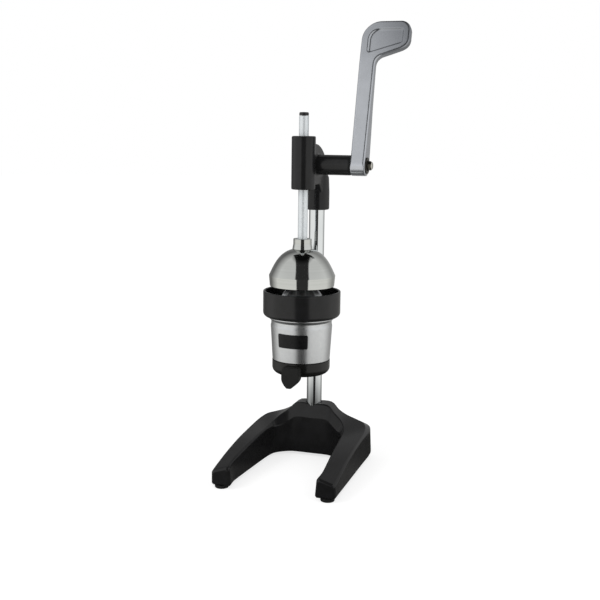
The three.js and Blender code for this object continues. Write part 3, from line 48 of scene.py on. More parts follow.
# Camera
# It stands a little to the right of the press and above it, about 1.2 m away, like a short telephoto.
CAMERA_PLACE = (0.34726, -1.130886, 0.42718)
CAMERA_TURN = math.radians(17.804)
CAMERA_TILT = math.radians(9.867)
CAMERA_ROLL = math.radians(0.694)
camera_data = bpy.data.cameras.new("camera")
camera_data.sensor_width = 36
camera_data.lens = 58.49
camera_data.clip_start = 0.05
camera_data.clip_end = 50
camera = bpy.data.objects.new("camera", camera_data)
camera.matrix_world = (Matrix.Translation(CAMERA_PLACE)
                       @ Matrix.Rotation(CAMERA_TURN, 4, "Z")
                       @ Matrix.Rotation(math.pi / 2 - CAMERA_TILT, 4, "X")
                       @ Matrix.Rotation(CAMERA_ROLL, 4, "Z"))
scene.collection.objects.link(camera)
scene.camera = camera

# Rubber feet, each with the screw that holds it
# The pads are turned shapes of moulded black rubber. A pan-head screw, sunk in from below, goes up
# into a boss of the casting.
MM = 0.001


def axis_through(node):
    """Places shapes drawn in millimetres round a node's upright middle line, heights from the floor."""
    low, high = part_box(node)
    middle = (low + high) / 2
    return Matrix.Translation((middle.x, middle.y, 0)) @ Matrix.Scale(MM, 4)


def rounded(corners, steps=5, size=2):
    """A closed outline through corners of that many numbers. One more number rounds the corner."""
    points = []
    for i, corner in enumerate(corners):
        here = Vector(corner[:size])
        if len(corner) == size:
            points.append(here)
            continue
        back = (Vector(corners[i - 1][:size]) - here).normalized()
        on = (Vector(corners[(i + 1) % len(corners)][:size]) - here).normalized()
        half = back.angle(on) / 2
        middle = here + (back + on).normalized() * corner[size] / math.sin(half)
        start = here + back * corner[size] / math.tan(half) - middle
        end = here + on * corner[size] / math.tan(half) - middle
        sweep = start.angle(end)
        for k in range(steps + 1):
            t = k / steps
            arm = start * math.sin((1 - t) * sweep) + end * math.sin(t * sweep)
            points.append(middle + arm / math.sin(sweep))
    return points


def mesh_from(verts, faces):
    """A closed mesh with its faces turned outwards."""
    shape = bmesh.new()
    made = [shape.verts.new(v) for v in verts]
    for face in faces:
        shape.faces.new([made[i] for i in face])
    bmesh.ops.recalc_face_normals(shape, faces=shape.faces)
    mesh = bpy.data.meshes.new("blank")
    shape.to_mesh(mesh)
    shape.free()
    return mesh


def spun(corners, steps=5, turns=96):
    """A solid turned about Z from an outline of (radius, height, rounding)."""
    outline = rounded(corners, steps)
    verts, rings, faces = [], [], []
    for radius, height in outline:
        if radius < 1e-6:
            rings.append([len(verts)] * turns)
            verts.append((0, 0, height))
            continue
        rings.append(list(range(len(verts), len(verts) + turns)))
        for k in range(turns):
            angle = 2 * math.pi * k / turns
            verts.append((radius * math.cos(angle), radius * math.sin(angle), height))
    for low, high in zip(rings, rings[1:] + rings[:1]):
        for k in range(turns):
            face = [low[k], low[k - 1], high[k - 1], high[k]]
            face = [v for n, v in enumerate(face) if v not in face[:n]]
            if len(face) > 2:
                faces.append(face)
    return mesh_from(verts, faces)


def moved(mesh, matrix):
    mesh.transform(matrix)
    return mesh


def piece(name, mesh, place, body, nodes, material, sharp=35):
    """Sets a finished mesh in the press: its place, its body, the nodes it stands for, its finish."""
    mesh.name = name
    mesh.transform(place)
    mesh.shade_smooth()
    mesh.set_sharp_from_angle(angle=math.radians(sharp))
    mesh.materials.clear()
    mesh.materials.append(material)
    obj = bpy.data.objects.new(name, mesh)
    scene.collection.objects.link(obj)
    weighted = obj.modifiers.new("even_normals", "WEIGHTED_NORMAL")
    weighted.keep_sharp = True
    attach(obj, body)
    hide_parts(*nodes)
    return obj


def colour(code):
    """An sRGB hex colour as linear numbers."""
    parts = [int(code[i:i + 2], 16) / 255 for i in (1, 3, 5)]
    linear = [p / 12.92 if p <= 0.04045 else ((p + 0.055) / 1.055) ** 2.4 for p in parts]
    return (*linear, 1)


def add(tree, kind, options=None, sockets=None):
    """Adds a node. Its options are set, and each socket gets a value or a link."""
    made = tree.nodes.new(kind)
    for option, value in (options or {}).items():
        setattr(made, option, value)
    for socket, value in (sockets or {}).items():
        if isinstance(value, bpy.types.NodeSocket):
            tree.links.new(value, made.inputs[socket])
        else:
            made.inputs[socket].default_value = value
    return made


def blank(name):
    """A new material, its empty tree, and the socket of places on the piece, in metres."""
    material = bpy.data.materials.new(name)
    material.use_nodes = True
    material.node_tree.nodes.clear()
    where = add(material.node_tree, "ShaderNodeTexCoord").outputs["Object"]
    return material, material.node_tree, where


def shade(tree, sockets):
    """Ends a material: its surface, from a value or a link for each socket."""
    shader = add(tree, "ShaderNodeBsdfPrincipled", None, sockets)
    add(tree, "ShaderNodeOutputMaterial", None, {"Surface": shader.outputs["BSDF"]})


def clouds(tree, where, size, low=0, high=1, detail=3):
    """A cloudy pattern, its clouds this many millimetres across, between two numbers or colours."""
    noise = add(tree, "ShaderNodeTexNoise", None,
                {"Vector": where, "Scale": 1 / (size * MM), "Detail": detail})
    spread = add(tree, "ShaderNodeMapRange", None,
                 {"Value": noise.outputs[0], "From Min": 0.3, "From Max": 0.7})
    if isinstance(low, str):
        return add(tree, "ShaderNodeMix", {"data_type": "RGBA"},
                   {0: spread.outputs[0], 6: colour(low), 7: colour(high)}).outputs[2]
    spread.inputs["To Min"].default_value = low
    spread.inputs["To Max"].default_value = high
    return spread.outputs[0]


def relief(tree, *layers):
    """A surface's bumps, each layer a (height, depth in millimetres)."""
    normal = None
    for height, depth in layers:
        sockets = {"Height": height, "Strength": 1, "Distance": depth * MM}
        if normal:
            sockets["Normal"] = normal
        normal = add(tree, "ShaderNodeBump", None, sockets).outputs["Normal"]
    return normal


# Moulded natural rubber: dull and a little dusty, with the grain of a blasted mould, which is drawn
# coarser than it is so that it shows.
rubber, tree, where = blank("moulded_rubber")
shade(tree, {"Base Color": clouds(tree, where, 3, "#131313", "#1a1a19"), "IOR": 1.52,
             "Roughness": clouds(tree, where, 1.2, 0.68, 0.85),
             "Normal": relief(tree, (clouds(tree, where, 0.5), 0.03))})

# Zinc-plated steel: a pale grey skin, slightly uneven, with marks from the tumbling that are drawn
# coarser than they are.
zinc, tree, where = blank("zinc_plated_steel")
shade(tree, {"Base Color": clouds(tree, where, 1.6, "#8f8c85", "#a5a39c"), "Metallic": 1,
             "Roughness": clouds(tree, where, 0.8, 0.28, 0.46),
             "Normal": relief(tree, (clouds(tree, where, 0.35), 0.008))})

CORNERS = ("front_left", "front_right", "rear_left", "rear_right")
PAD_RADIUS, PAD_TOP, PAD_SEAT = 8.55, 3.8, 2.8
PAD = [(4.3, 0, 0.3), (7.9, 0, 0.5), (PAD_RADIUS, 1, 0.8), (PAD_RADIUS, PAD_TOP, 0.4), (2.3, PAD_TOP),
       (2.3, PAD_SEAT), (4.3, PAD_SEAT)]
SCREW_HEAD, SCREW_SHANK, SCREW_END = 4, 2, 14
FOOT_SCREW = [(0, 1.2), (1.6, 1.2), (1.9, 0.8, 0.2), (3.1, 0.8, 0.5), (SCREW_HEAD, 1.8, 0.5),
              (SCREW_HEAD, 2.5), (SCREW_SHANK, 2.5), (SCREW_SHANK, SCREW_END - 0.6),
              (SCREW_SHANK - 0.6, SCREW_END), (0, SCREW_END)]
for corner in CORNERS:
    pad, screw = "foot_pad_" + corner, "foot_screw_" + corner
    piece("rubber_foot_" + corner, spun(PAD, 3, 64), axis_through(pad), "frame", [pad], rubber)
    piece("foot_fixing_" + corner, spun(FOOT_SCREW, 3, 32), axis_through(screw), "frame", [screw],
          zinc)

# Base casting
# A hollow grey-iron casting, U-shaped so that there is room under the spout. It is sand cast,
# fettled and sprayed with semi-gloss black enamel, which softens every edge.

# Each row is a section across the U from the middle of the back to the tip of a leg. It holds the
# inner wall's top edge, the two edges of the crest and the outer wall's top edge: x and y from the
# ram's axis, and z.
CASTING_ROWS = [
    (0, 44.6, 52.5, 0, 50.1, 70.5, 0, 71.5, 70.5, 0, 79.4, 57.4),
    (20, 44.6, 52.5, 21, 50.1, 70.5, 21, 71.5, 70.2, 22, 79.4, 57),
    (29.5, 42.2, 46.5, 31.5, 48.1, 61.5, 32.2, 70, 60.7, 33, 79.4, 51),
    (38.5, 36.2, 41.5, 42, 43.2, 53.5, 43.4, 69, 54.6, 45, 79.4, 46.5),
    (43.5, 30.8, 40.6, 47.5, 35.7, 47.5, 57, 68, 50, 59, 79, 43.5),
    (46.5, 24.8, 40.8, 50, 28.3, 44.8, 68, 63.5, 46.8, 71.5, 76.5, 41),
    (49, 11.9, 40.4, 51.5, 12.9, 42.6, 74, 45.7, 43, 77, 61.5, 38.5),
    (50.6, -6, 39.3, 53, -6, 41.3, 75.2, 7.9, 40, 77.3, 19.9, 37.3),
    (52.6, -33, 36.6, 55, -33, 38.6, 75.2, -27, 37.3, 77.5, -24, 34.6),
    (54.6, -60, 33.2, 57, -60, 35.2, 75.2, -59, 32.6, 77.7, -58, 30),
    (56.2, -88, 29.4, 58.6, -88, 31.2, 75.3, -88, 26.6, 78, -88, 24),
    (54.9, -102, 27, 57.6, -102, 29, 75.2, -102, 23.6, 77.9, -102, 21),
    (54.5, -105.4, 26, 57.3, -105.4, 28.2, 75, -105.4, 22.8, 77.8, -105.4, 20.2),
]
UNDERSIDE, BASE_WALL, FOOT_EDGE, EDGE_ROUNDING = 3.9, 5, 2, 2.4
# The walls have draft, so that the pattern left its mould: they lean out to the floor, by these
# widths at most, and never past the base's half width and back.
DRAFT_IN, DRAFT_OUT, HALF_WIDTH, BACK = 1.6, 2.4, 77.9, 79.9
QUARTERS = (0, 0.25, 0.5, 0.75)


def glide(before, start, end, beyond, t):
    """A place on the smooth curve through four, the share t of the way between the middle two."""
    return [b + t * (c - a) / 2 + t * t * (2 * a - 5 * b + 4 * c - d) / 2
            + t ** 3 * (3 * b - a - 3 * c + d) / 2 for a, b, c, d in zip(before, start, end, beyond)]


def casting_rings(inset, underside, foot, rounding):
    """Rings across the casting, from tip to tip. Walls and top are drawn in by inset, the lowest
    edges by foot, and the edges between them are rounded."""
    rings = []
    rows = [[-n if i in (0, 3, 6, 9) else n for i, n in enumerate(row)] for row in CASTING_ROWS[:0:-1]]
    rows += [list(row) for row in CASTING_ROWS]
    rows = [rows[0]] + rows + [rows[-1]]
    for k in range(1, len(rows) - 2):
        for t in QUARTERS if k < len(rows) - 3 else (*QUARTERS, 1):
            row = glide(*rows[k - 1:k + 3], t)
            edges = [Vector(row[i:i + 3]) - Vector((0, 0, inset)) for i in (0, 3, 6, 9)]
            inner, outer = edges[0], edges[3]
            across = Vector((outer.x - inner.x, outer.y - inner.y, 0))
            pull = 1 / across.length

            def drawn(point, depth, height):
                shift = Vector((inner.x + outer.x - 2 * point.x, inner.y + outer.y - 2 * point.y, 0))
                return (point + shift * depth * pull).xy.to_3d() + Vector((0, 0, height))

            lean_in = inset - DRAFT_IN
            lean_out = inset - min(DRAFT_OUT, HALF_WIDTH - abs(outer.x), BACK - outer.y)
            corners = [(drawn(inner, lean_in + foot, underside), 0),
                       (drawn(inner, lean_in, underside + foot), 0.8)]
            corners += [(drawn(edge, inset, edge.z), 1) for edge in edges]
            corners += [(drawn(outer, lean_out, underside + foot), 0.8),
                        (drawn(outer, lean_out + foot, underside), 0)]
            if rounding:
                rings.append(rounded([(*p, r * rounding) if r else tuple(p) for p, r in corners], 4, 3))
            else:
                rings.append([p for p, r in corners])
    return rings


def skin(rings, crowns=()):
    """A closed skin over rings of points. Each end is closed over rings drawn in to its middle, with
    a share of the ring's size and a height along the end's own outward direction for each."""
    rings = [list(ring) for ring in rings]
    for end, before in ((0, 1), (-1, -2)):
        ring = rings[end]
        middle = sum(ring, Vector((0, 0, 0))) / len(ring)
        out = (middle - sum(rings[before], Vector((0, 0, 0))) / len(ring)).normalized()
        added = [[middle + (p - middle) * share + out * rise for p in ring] for share, rise in crowns]
        rings = added[::-1] + rings if end == 0 else rings + added
    count = len(rings[0])
    verts = [tuple(p) for ring in rings for p in ring]
    faces = [[k * count + i, k * count + (i + 1) % count, (k + 1) * count + (i + 1) % count,
              (k + 1) * count + i] for k in range(len(rings) - 1) for i in range(count)]
    faces += [list(range(count)), [len(verts) - count + i for i in range(count)]]
    return mesh_from(verts, faces)


def worked(mesh, *tools):
    """The mesh that a row of tools makes of this one. Each tool is a modifier's kind and settings."""
    holders = [bpy.data.objects.new("blank", mesh)]
    for kind, settings in tools:
        tool = holders[0].modifiers.new(kind, kind)
        for key, value in settings.items():
            if isinstance(value, bpy.types.Mesh):
                value = bpy.data.objects.new("blank", value)
                holders.append(value)
            setattr(tool, key, value)
    for holder in holders:
        scene.collection.objects.link(holder)
    made = bpy.data.meshes.new_from_object(holders[0].evaluated_get(bpy.context.evaluated_depsgraph_get()))
    for holder in holders:
        old = holder.data
        bpy.data.objects.remove(holder)
        bpy.data.meshes.remove(old)
    return made


def combined(how, mesh, *others):
    return worked(mesh, *[("BOOLEAN", {"operation": how, "object": other, "solver": "MANIFOLD"})
                          for other in others])


def drill(radius, low, high, turns=48):
    """A round cutter or boss about Z."""
    return spun([(0, low), (radius, low), (radius, high), (0, high)], turns=turns)


# Semi-gloss enamel over sand-cast iron: near-black, with a soft ripple from the spray and the
# wider swell of the sand under it. It mirrors the soft boxes as broad dull bands.
enamel, tree, where = blank("black_enamel_on_cast_iron")
shade(tree, {"Base Color": clouds(tree, where, 9, "#191919", "#1e1e1f"), "IOR": 1.5,
             "Specular IOR Level": 0.27, "Roughness": clouds(tree, where, 6, 0.16, 0.23),
             "Normal": relief(tree, (clouds(tree, where, 14, detail=1), 0.03),
                              (clouds(tree, where, 2.2, detail=1), 0.004))})

# The column, its bolt hole and the washer under it, all round the line at COLUMN_Y. A bore or a seat
# is larger than what it holds by the gap.
GAP = 0.3
COLUMN_Y, COLUMN_RADIUS, COLUMN_FOOT, COLUMN_TOP = 59.4, 10, 28.5, 368.5
COLUMN_BORE, BOLT_HOLE, WASHER_RADIUS, WASHER_TOP = COLUMN_RADIUS + GAP, 4.3, 9, 23.4
TIP_TAPER, TIP_RISE, ABOVE_CREST = 0.33, 3.4, 72
SEAT_BOSS, SCREW_BOSS = 14.8, 6
ram_place = axis_through("ram_rod")
column_place = axis_through("column")
at_column = Matrix.Translation((0, COLUMN_Y, 0))
# The tips of the legs are crowned, in rings that shrink as they step out.
tip_round = [(1 - TIP_TAPER * (1 - math.cos(a)), TIP_RISE * math.sin(a)) for a in (0.3, 0.6, 0.9, 1.2, 1.5)]
solid = skin(casting_rings(0, UNDERSIDE, FOOT_EDGE, EDGE_ROUNDING), tip_round)
hollow = skin(casting_rings(BASE_WALL, UNDERSIDE - 3, 0, 0))
bosses = [moved(drill(SEAT_BOSS, 0, ABOVE_CREST), at_column)]
for corner in CORNERS:
    foot = ram_place.inverted() @ axis_through("foot_pad_" + corner)
    bosses.append(moved(drill(SCREW_BOSS, 0, ABOVE_CREST), Matrix.Translation(foot.translation)))
hollow = combined("DIFFERENCE", hollow, *bosses)
SEAT = [(0, COLUMN_FOOT - GAP), (COLUMN_BORE, COLUMN_FOOT - GAP), (COLUMN_BORE, 69.6), (11.2, ABOVE_CREST),
        (0, ABOVE_CREST)]
cutters = [spun(SEAT), drill(BOLT_HOLE, 0, 40), drill(WASHER_RADIUS + GAP, -3, WASHER_TOP + GAP)]
cutters = [moved(cutter, at_column) for cutter in cutters]
casting = combined("DIFFERENCE", solid, hollow, *cutters)
piece("base_casting_skin", casting, ram_place, "frame", ["base_casting"], enamel, 50)

# Column, its washer and its bolt
# A ground steel bar, hard chrome plated. It stands in the base, and a bolt with a washer draws it
# down from below.

# Chrome over grinding: bluish white metal with a nearly even mirror. The grinding's rings round it
# are drawn far coarser than they are, so that they show.
chrome, tree, where = blank("hard_chrome_plate")
rings = add(tree, "ShaderNodeMapping", None, {"Vector": where, "Scale": (0.02, 0.02, 1)}).outputs[0]
shade(tree, {"Base Color": clouds(tree, where, 40, "#d2d6d8", "#dcdfe0"), "Metallic": 1,
             "Roughness": clouds(tree, rings, 0.9, 0.03, 0.09),
             "Normal": relief(tree, (clouds(tree, rings, 4, detail=1), 0.0008))})

COLUMN_BAR = [(0, COLUMN_FOOT), (COLUMN_RADIUS, COLUMN_FOOT, 0.8), (COLUMN_RADIUS, COLUMN_TOP, 0.8),
              (0, COLUMN_TOP)]
bar = combined("DIFFERENCE", spun(COLUMN_BAR, 3), drill(BOLT_HOLE, 26, 46.8))
piece("column_bar", bar, column_place, "frame", ["column"], chrome)
WASHER = [(BOLT_HOLE, WASHER_TOP - 1.6, 0.15), (WASHER_RADIUS, WASHER_TOP - 1.6, 0.3),
          (WASHER_RADIUS, WASHER_TOP, 0.3), (BOLT_HOLE, WASHER_TOP, 0.15)]
piece("column_bolt_washer", spun(WASHER, 2, 64), column_place, "frame", ["column_washer"], zinc)


def hexagon(radius, low, high, edge):
    """A bolt head or nut blank: a hexagonal prism whose corners are turned off at both ends."""
    corners = [Vector((radius * math.cos(k * math.pi / 3), radius * math.sin(k * math.pi / 3), 0))
               for k in range(6)]
    prism = skin([[c + Vector((0, 0, low)) for c in corners], [c + Vector((0, 0, high)) for c in corners]])
    small, large = radius - edge, radius + edge
    turned = spun([(0, low), (small, low), (large, low + edge), (large, high - edge), (small, high),
                   (0, high)], turns=48)
    return combined("INTERSECT", prism, turned)


bolt = combined("UNION", hexagon(7.2, 16.2, 21.5, 0.7), drill(4, 18, 46.5))
piece("column_bolt_head", bolt, column_place, "frame", ["column_bolt"], zinc)

# Head casting
# One grey-iron casting: the guide tube of the ram in front, the web that houses the pinion, the
# socket on the column and the tube of the shaft. It is enamelled like the base, then bored.
# The shaft lies along X. A side view draws y and z, with x as its depth. A front view draws x and z.
SHAFT_Y, SHAFT_Z = 24, 385.6
SIDE_VIEW = Matrix(((0, 0, 1, 0), (1, 0, 0, 0), (0, 1, 0, 0), (0, 0, 0, 1)))
FRONT_VIEW = Matrix.Rotation(math.pi / 2, 4, "X")


def arc(x, y, radius, start, end, steps=16):
    """Points of an arc, its angles in degrees."""
    angles = [math.radians(start + (end - start) * k / steps) for k in range(steps + 1)]
    return [Vector((x + radius * math.cos(a), y + radius * math.sin(a))) for a in angles]


def drawn_in(outline, depth):
    """An outline that runs anticlockwise, moved inwards by a depth."""
    moved_points = []
    for i, here in enumerate(outline):
        before, after = outline[i - 1], outline[(i + 1) % len(outline)]
        one, two = (here - before).normalized(), (after - here).normalized()
        inward = Vector((-one.y - two.y, one.x + two.x)).normalized()
        stretch = max(0.4, inward.dot(Vector((-one.y, one.x))))
        moved_points.append(here + inward * depth / stretch)
    return moved_points


def slab(outline, low, high, round_low=0, round_high=0, steps=5):
    """A plate from an outline in u and v, its thickness along w, with rounded edges."""
    levels = []
    for side, level, radius in ((-1, low, round_low), (1, high, round_high)):
        angles = [k * math.pi / 2 / steps for k in range(steps + 1)] if radius else [0]
        edge = [(level - side * radius * (1 - math.sin(a)), radius * (1 - math.cos(a))) for a in angles]
        levels += edge[::-1] if side < 0 else edge
    return skin([[Vector((p.x, p.y, w)) for p in drawn_in(outline, depth)] for w, depth in levels])


def into_column(height):
    """Turns what is drawn about Z so that it points back from the column's middle, at a height."""
    return Matrix.Translation((0, COLUMN_Y, height)) @ Matrix.Rotation(-math.pi / 2, 4, "X")


at_shaft = Matrix.Translation((0, SHAFT_Y, SHAFT_Z)) @ SIDE_VIEW
WEB_FOOT, WEB_BACK, WEB_TOP, WEB_ROUND, WEB_HALF = 328.8, 78.3, 411.3, 57.96, 10.5
web = [Vector(p) for p in ((0, 359.9), (36.5, 359.9), (49.4, 347), (59.4, WEB_FOOT), (WEB_BACK, WEB_FOOT))]
web += arc(WEB_BACK - WEB_ROUND, WEB_TOP - WEB_ROUND, WEB_ROUND, 0, 90, 32) + [Vector((0, WEB_TOP))]
web = moved(slab(web, -WEB_HALF, WEB_HALF, 2.2, 2.2), SIDE_VIEW)
GUIDE_RADIUS, GUIDE_FOOT, GUIDE_TOP = 14.8, 355.8, 420.6
guide = spun([(0, GUIDE_FOOT), (GUIDE_RADIUS, GUIDE_FOOT, 1), (GUIDE_RADIUS, GUIDE_TOP, 1), (0, GUIDE_TOP)])
SOCKET_RADIUS, SOCKET_FOOT, SOCKET_TOP = 15.9, 327.2, 372.5
socket = moved(spun([(0, SOCKET_FOOT), (SOCKET_RADIUS, SOCKET_FOOT, 1.6), (SOCKET_RADIUS, 350, 40),
                     (SOCKET_RADIUS - 1.1, SOCKET_TOP, 5), (0, SOCKET_TOP)]), at_column)
TUBE_RADIUS, TUBE_END = 12.4, 54.8
tube = moved(spun([(0, 0), (TUBE_RADIUS, 0), (TUBE_RADIUS, TUBE_END, 1.2), (0, TUBE_END)]), at_shaft)
# The voxels join the four forms and the smoothing rounds the corners between them, as a casting has.
head = worked(combined("UNION", web, guide, socket, tube), ("REMESH", {"mode": "VOXEL", "voxel_size": 0.7}),
              ("SMOOTH", {"factor": 0.5, "iterations": 14}))
# Bores: the rod's with a seat for a bush at each end and a funnel on top, the column's, the pinion's
# housing with a groove for its ring, the shaft's with a seat for its bush, and two for set screws.
ROD_RADIUS, SLIDE_BORE, BUSH_RADIUS, BUSH_LENGTH = 6, 6.3, 8.3, 10
BUSH_SEAT = BUSH_RADIUS + GAP
ROD_BUSHES = {"rod_bush_upper": 409.6, "rod_bush_lower": 356.1}
HOUSING_END, HOUSING_RADIUS, GROOVE_RADIUS, CAP_OUTSIDE = 4.7, 21.7, 22.8, -8
HEAD_SCREWS, SCREW_BORE = {"head_set_screw_lower": 338.5, "head_set_screw_upper": 348.5}, 2.8
funnel = ROD_BUSHES["rod_bush_upper"] - GAP
bores = [drill(SLIDE_BORE, 300, 450), drill(BUSH_SEAT, funnel, 430),
         drill(BUSH_SEAT, 340, ROD_BUSHES["rod_bush_lower"] + BUSH_LENGTH + GAP),
         spun([(0, funnel), (9.6, 421.6), (0, 421.6)]),
         moved(drill(COLUMN_BORE, 320, COLUMN_TOP + GAP, 96), at_column)]
for start, end, radius in ((-17, HOUSING_END, HOUSING_RADIUS), (0, 60, 7), (42.5, 60, BUSH_SEAT),
                           (CAP_OUTSIDE - 1.6, CAP_OUTSIDE, GROOVE_RADIUS)):
    bores.append(moved(drill(radius, start, end, 96), at_shaft))
for height in HEAD_SCREWS.values():
    bores.append(moved(drill(SCREW_BORE, 8, 24, 32), into_column(height)))
head = combined("DIFFERENCE", head, *bores)
piece("head_casting_skin", head, ram_place, "frame", ["head_casting"], enamel, 50)

# Rod bushes
# Two short sleeves of sintered bronze, pressed into the ends of the guide tube. The rod slides in
# them.

# Sintered bronze: dull brown-gold, full of oil-filled pores, which are drawn larger than they are.
bronze, tree, where = blank("sintered_bronze")
shade(tree, {"Base Color": clouds(tree, where, 0.45, "#7a5c36", "#a8824f", 1), "Metallic": 1,
             "Roughness": clouds(tree, where, 1.5, 0.36, 0.52),
             "Normal": relief(tree, (clouds(tree, where, 0.45, detail=1), 0.02))})


def sleeve(low, high, turns):
    """A plain bush about Z, its four edges broken."""
    return spun([(SLIDE_BORE, low, 0.3), (BUSH_RADIUS, low, 0.3), (BUSH_RADIUS, high, 0.3),
                 (SLIDE_BORE, high, 0.3)], 2, turns)


for name, low in ROD_BUSHES.items():
    piece(name + "_sleeve", sleeve(low, low + BUSH_LENGTH, 96), ram_place, "frame", [name], bronze)

# Set screws of the head and the ring
# Black-finished socket set screws, driven in from behind, that grip the column.

# Black-oxide steel: a thin dark conversion coat, satin, with brown-grey metal at its rubbed spots.
oxide, tree, where = blank("black_oxide_steel")
shade(tree, {"Base Color": clouds(tree, where, 1.2, "#454440", "#5f5d57"), "Metallic": 1,
             "Roughness": clouds(tree, where, 0.7, 0.34, 0.5),
             "Normal": relief(tree, (clouds(tree, where, 0.4), 0.006))})
RING_SCREWS = {"ring_set_screw_lower": 205.8, "ring_set_screw_upper": 219.8}
SCREW_RADIUS, KEY_RADIUS, KEY_DEPTH = 2.5, 1.4, 2
for name, height in (HEAD_SCREWS | RING_SCREWS).items():
    length = 8.6 if name in HEAD_SCREWS else 4.7
    body = spun([(0, 0), (SCREW_RADIUS - 0.8, 0), (SCREW_RADIUS, 0.8), (SCREW_RADIUS, length, 0.3),
                 (0, length)], 2, 48)
    key = hexagon(KEY_RADIUS, length - KEY_DEPTH, length + KEY_DEPTH, 0.01)
    place = ram_place @ into_column(height) @ Matrix.Translation((0, 0, COLUMN_BORE))
    piece(name + "_grub", combined("DIFFERENCE", body, key), place, "frame", [name], oxide)

# Ring that carries the cup
# An iron casting, enamelled like the base: a band with an inner ledge for the cup's flange, a
# tapered lip, a well rounded lower edge, and a boss behind that clamps on the column.
RING_FOOT, RING_TOP, RING_RADIUS, LEDGE, LEDGE_TOP = 197.9, 230.4, 48.4, 41.8, 202.4
RING = [(LEDGE, RING_FOOT), (RING_RADIUS, RING_FOOT, 5.9), (RING_RADIUS, RING_TOP, 1),
        (45.7, RING_TOP, 0.9), (44.3, 213.4, 4), (44.3, LEDGE_TOP), (LEDGE, LEDGE_TOP)]
band = spun(RING, 8, 160)
# The boss runs into the band with a fillet each side: both circles touch the fillet's circle.
BOSS, FILLET, BAND_MIDDLE = 15, 9, 47
reach = BAND_MIDDLE + FILLET
turn = math.acos((reach ** 2 + COLUMN_Y ** 2 - (BOSS + FILLET) ** 2) / (2 * reach * COLUMN_Y))
middle = Vector((reach * math.sin(turn), reach * math.cos(turn)))
to_boss = math.degrees(math.atan2(COLUMN_Y - middle.y, -middle.x))
to_band = math.degrees(math.atan2(-middle.y, -middle.x)) % 360
right = arc(middle.x, middle.y, FILLET, to_band, to_boss, 10)
tip = arc(0, COLUMN_Y, BOSS, to_boss - 180, 180 - (to_boss - 180), 32)
left = [Vector((-p.x, p.y)) for p in reversed(right)]
neck = slab([Vector((0, 42))] + right + tip[1:-1] + left, 200, 228, 1.2, 1.2)
neck = combined("DIFFERENCE", neck, drill(45.5, 190, 235, 160))
ring = combined("UNION", band, neck)
bores = [moved(drill(COLUMN_BORE, 190, 235, 96), at_column)]
for height in RING_SCREWS.values():
    bores.append(moved(drill(SCREW_BORE, 8, 18, 32), into_column(height)))
ring = combined("DIFFERENCE", ring, *bores)
piece("cup_ring", ring, ram_place, "frame", ["ring_holder"], enamel, 50)

# Pinion, its key and its shaft
# A cut steel gear keyed to a ground shaft. The shaft ends in a square for the handle and a stud for
# the nut, and shows only its centred left end.

# Machined carbon steel: oiled grey metal with turning rings about the shaft, drawn coarser than
# they are.
machined, tree, where = blank("machined_carbon_steel")
rings = add(tree, "ShaderNodeMapping", None, {"Vector": where, "Scale": (1, 0.05, 0.05)}).outputs[0]
shade(tree, {"Base Color": clouds(tree, where, 5, "#85827c", "#9a978f"), "Metallic": 1,
             "Roughness": clouds(tree, rings, 0.7, 0.24, 0.4),
             "Normal": relief(tree, (clouds(tree, rings, 0.5), 0.006))})
HANDLE_LEAN = math.radians(-18.4)
shaft_place = ram_place @ Matrix.Translation((0, SHAFT_Y, SHAFT_Z))
crank_place = shaft_place @ Matrix.Rotation(HANDLE_LEAN, 4, "X")
for name in ("pinion_gear", "pinion_key"):
    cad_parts[name].data.materials.clear()
    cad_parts[name].data.materials.append(machined)


def bar_from(left, low, right, high, start, end):
    """A square-edged bar along the shaft, from two corners in side view."""
    corners = [Vector(p) for p in ((left, low), (right, low), (right, high), (left, high))]
    return moved(slab(corners, start, end), SIDE_VIEW)


SHAFT_RADIUS, SHAFT_LEFT, SHAFT_RIGHT, STUD_RADIUS, STUD_END = 6, -9.3, 55.1, 2.95, 79.1
round_bar = spun([(0, SHAFT_LEFT + 0.9), (1, SHAFT_LEFT + 0.9), (1.7, SHAFT_LEFT), (5.6, SHAFT_LEFT, 0.2),
                  (SHAFT_RADIUS, SHAFT_LEFT + 0.4, 0.2), (SHAFT_RADIUS, SHAFT_RIGHT, 0.3),
                  (0, SHAFT_RIGHT)], 2, 64)
stud = spun([(0, 50), (STUD_RADIUS, 50), (STUD_RADIUS, STUD_END - 0.4), (STUD_RADIUS - 0.4, STUD_END),
             (0, STUD_END)], 2, 48)
# The square's corners reach nearly to the bar's skin.
half = 5.88 / math.sqrt(2)
shaft = combined("UNION", moved(round_bar, SIDE_VIEW), moved(stud, SIDE_VIEW),
                 bar_from(-half, -half, half, half, 52, 73.3))
shaft = combined("DIFFERENCE", shaft, bar_from(-1.8, 4.2, 1.8, 7.8, -4, 4))
piece("pinion_shaft_bar", shaft, crank_place, "handle", ["pinion_shaft"], machined)

# Shaft bushes, housing cap and retaining ring
# Bronze sleeves carry the shaft. An enamelled disc with a hub closes the pinion's housing on the
# left, and a sprung steel ring in a groove holds it in.
for name, low, high in (("shaft_bush_right", 42.8, TUBE_END), ("shaft_bush_left", CAP_OUTSIDE, -4.3)):
    bush = moved(sleeve(low, high, 64), SIDE_VIEW)
    piece(name + "_sleeve", bush, shaft_place, "frame", [name], bronze)
CAP_RADIUS, CAP_INSIDE, CAP_DISH, ROD_CLEARANCE = 21.4, -5, -7.4, 6.6
CAP = [(BUSH_SEAT, CAP_OUTSIDE), (9.4, CAP_OUTSIDE, 0.2), (9.4, CAP_DISH, 0.2), (19.8, CAP_DISH, 0.4),
       (20.2, CAP_OUTSIDE, 0.2), (CAP_RADIUS, CAP_OUTSIDE, 0.3), (CAP_RADIUS, CAP_INSIDE),
       (BUSH_SEAT, CAP_INSIDE)]
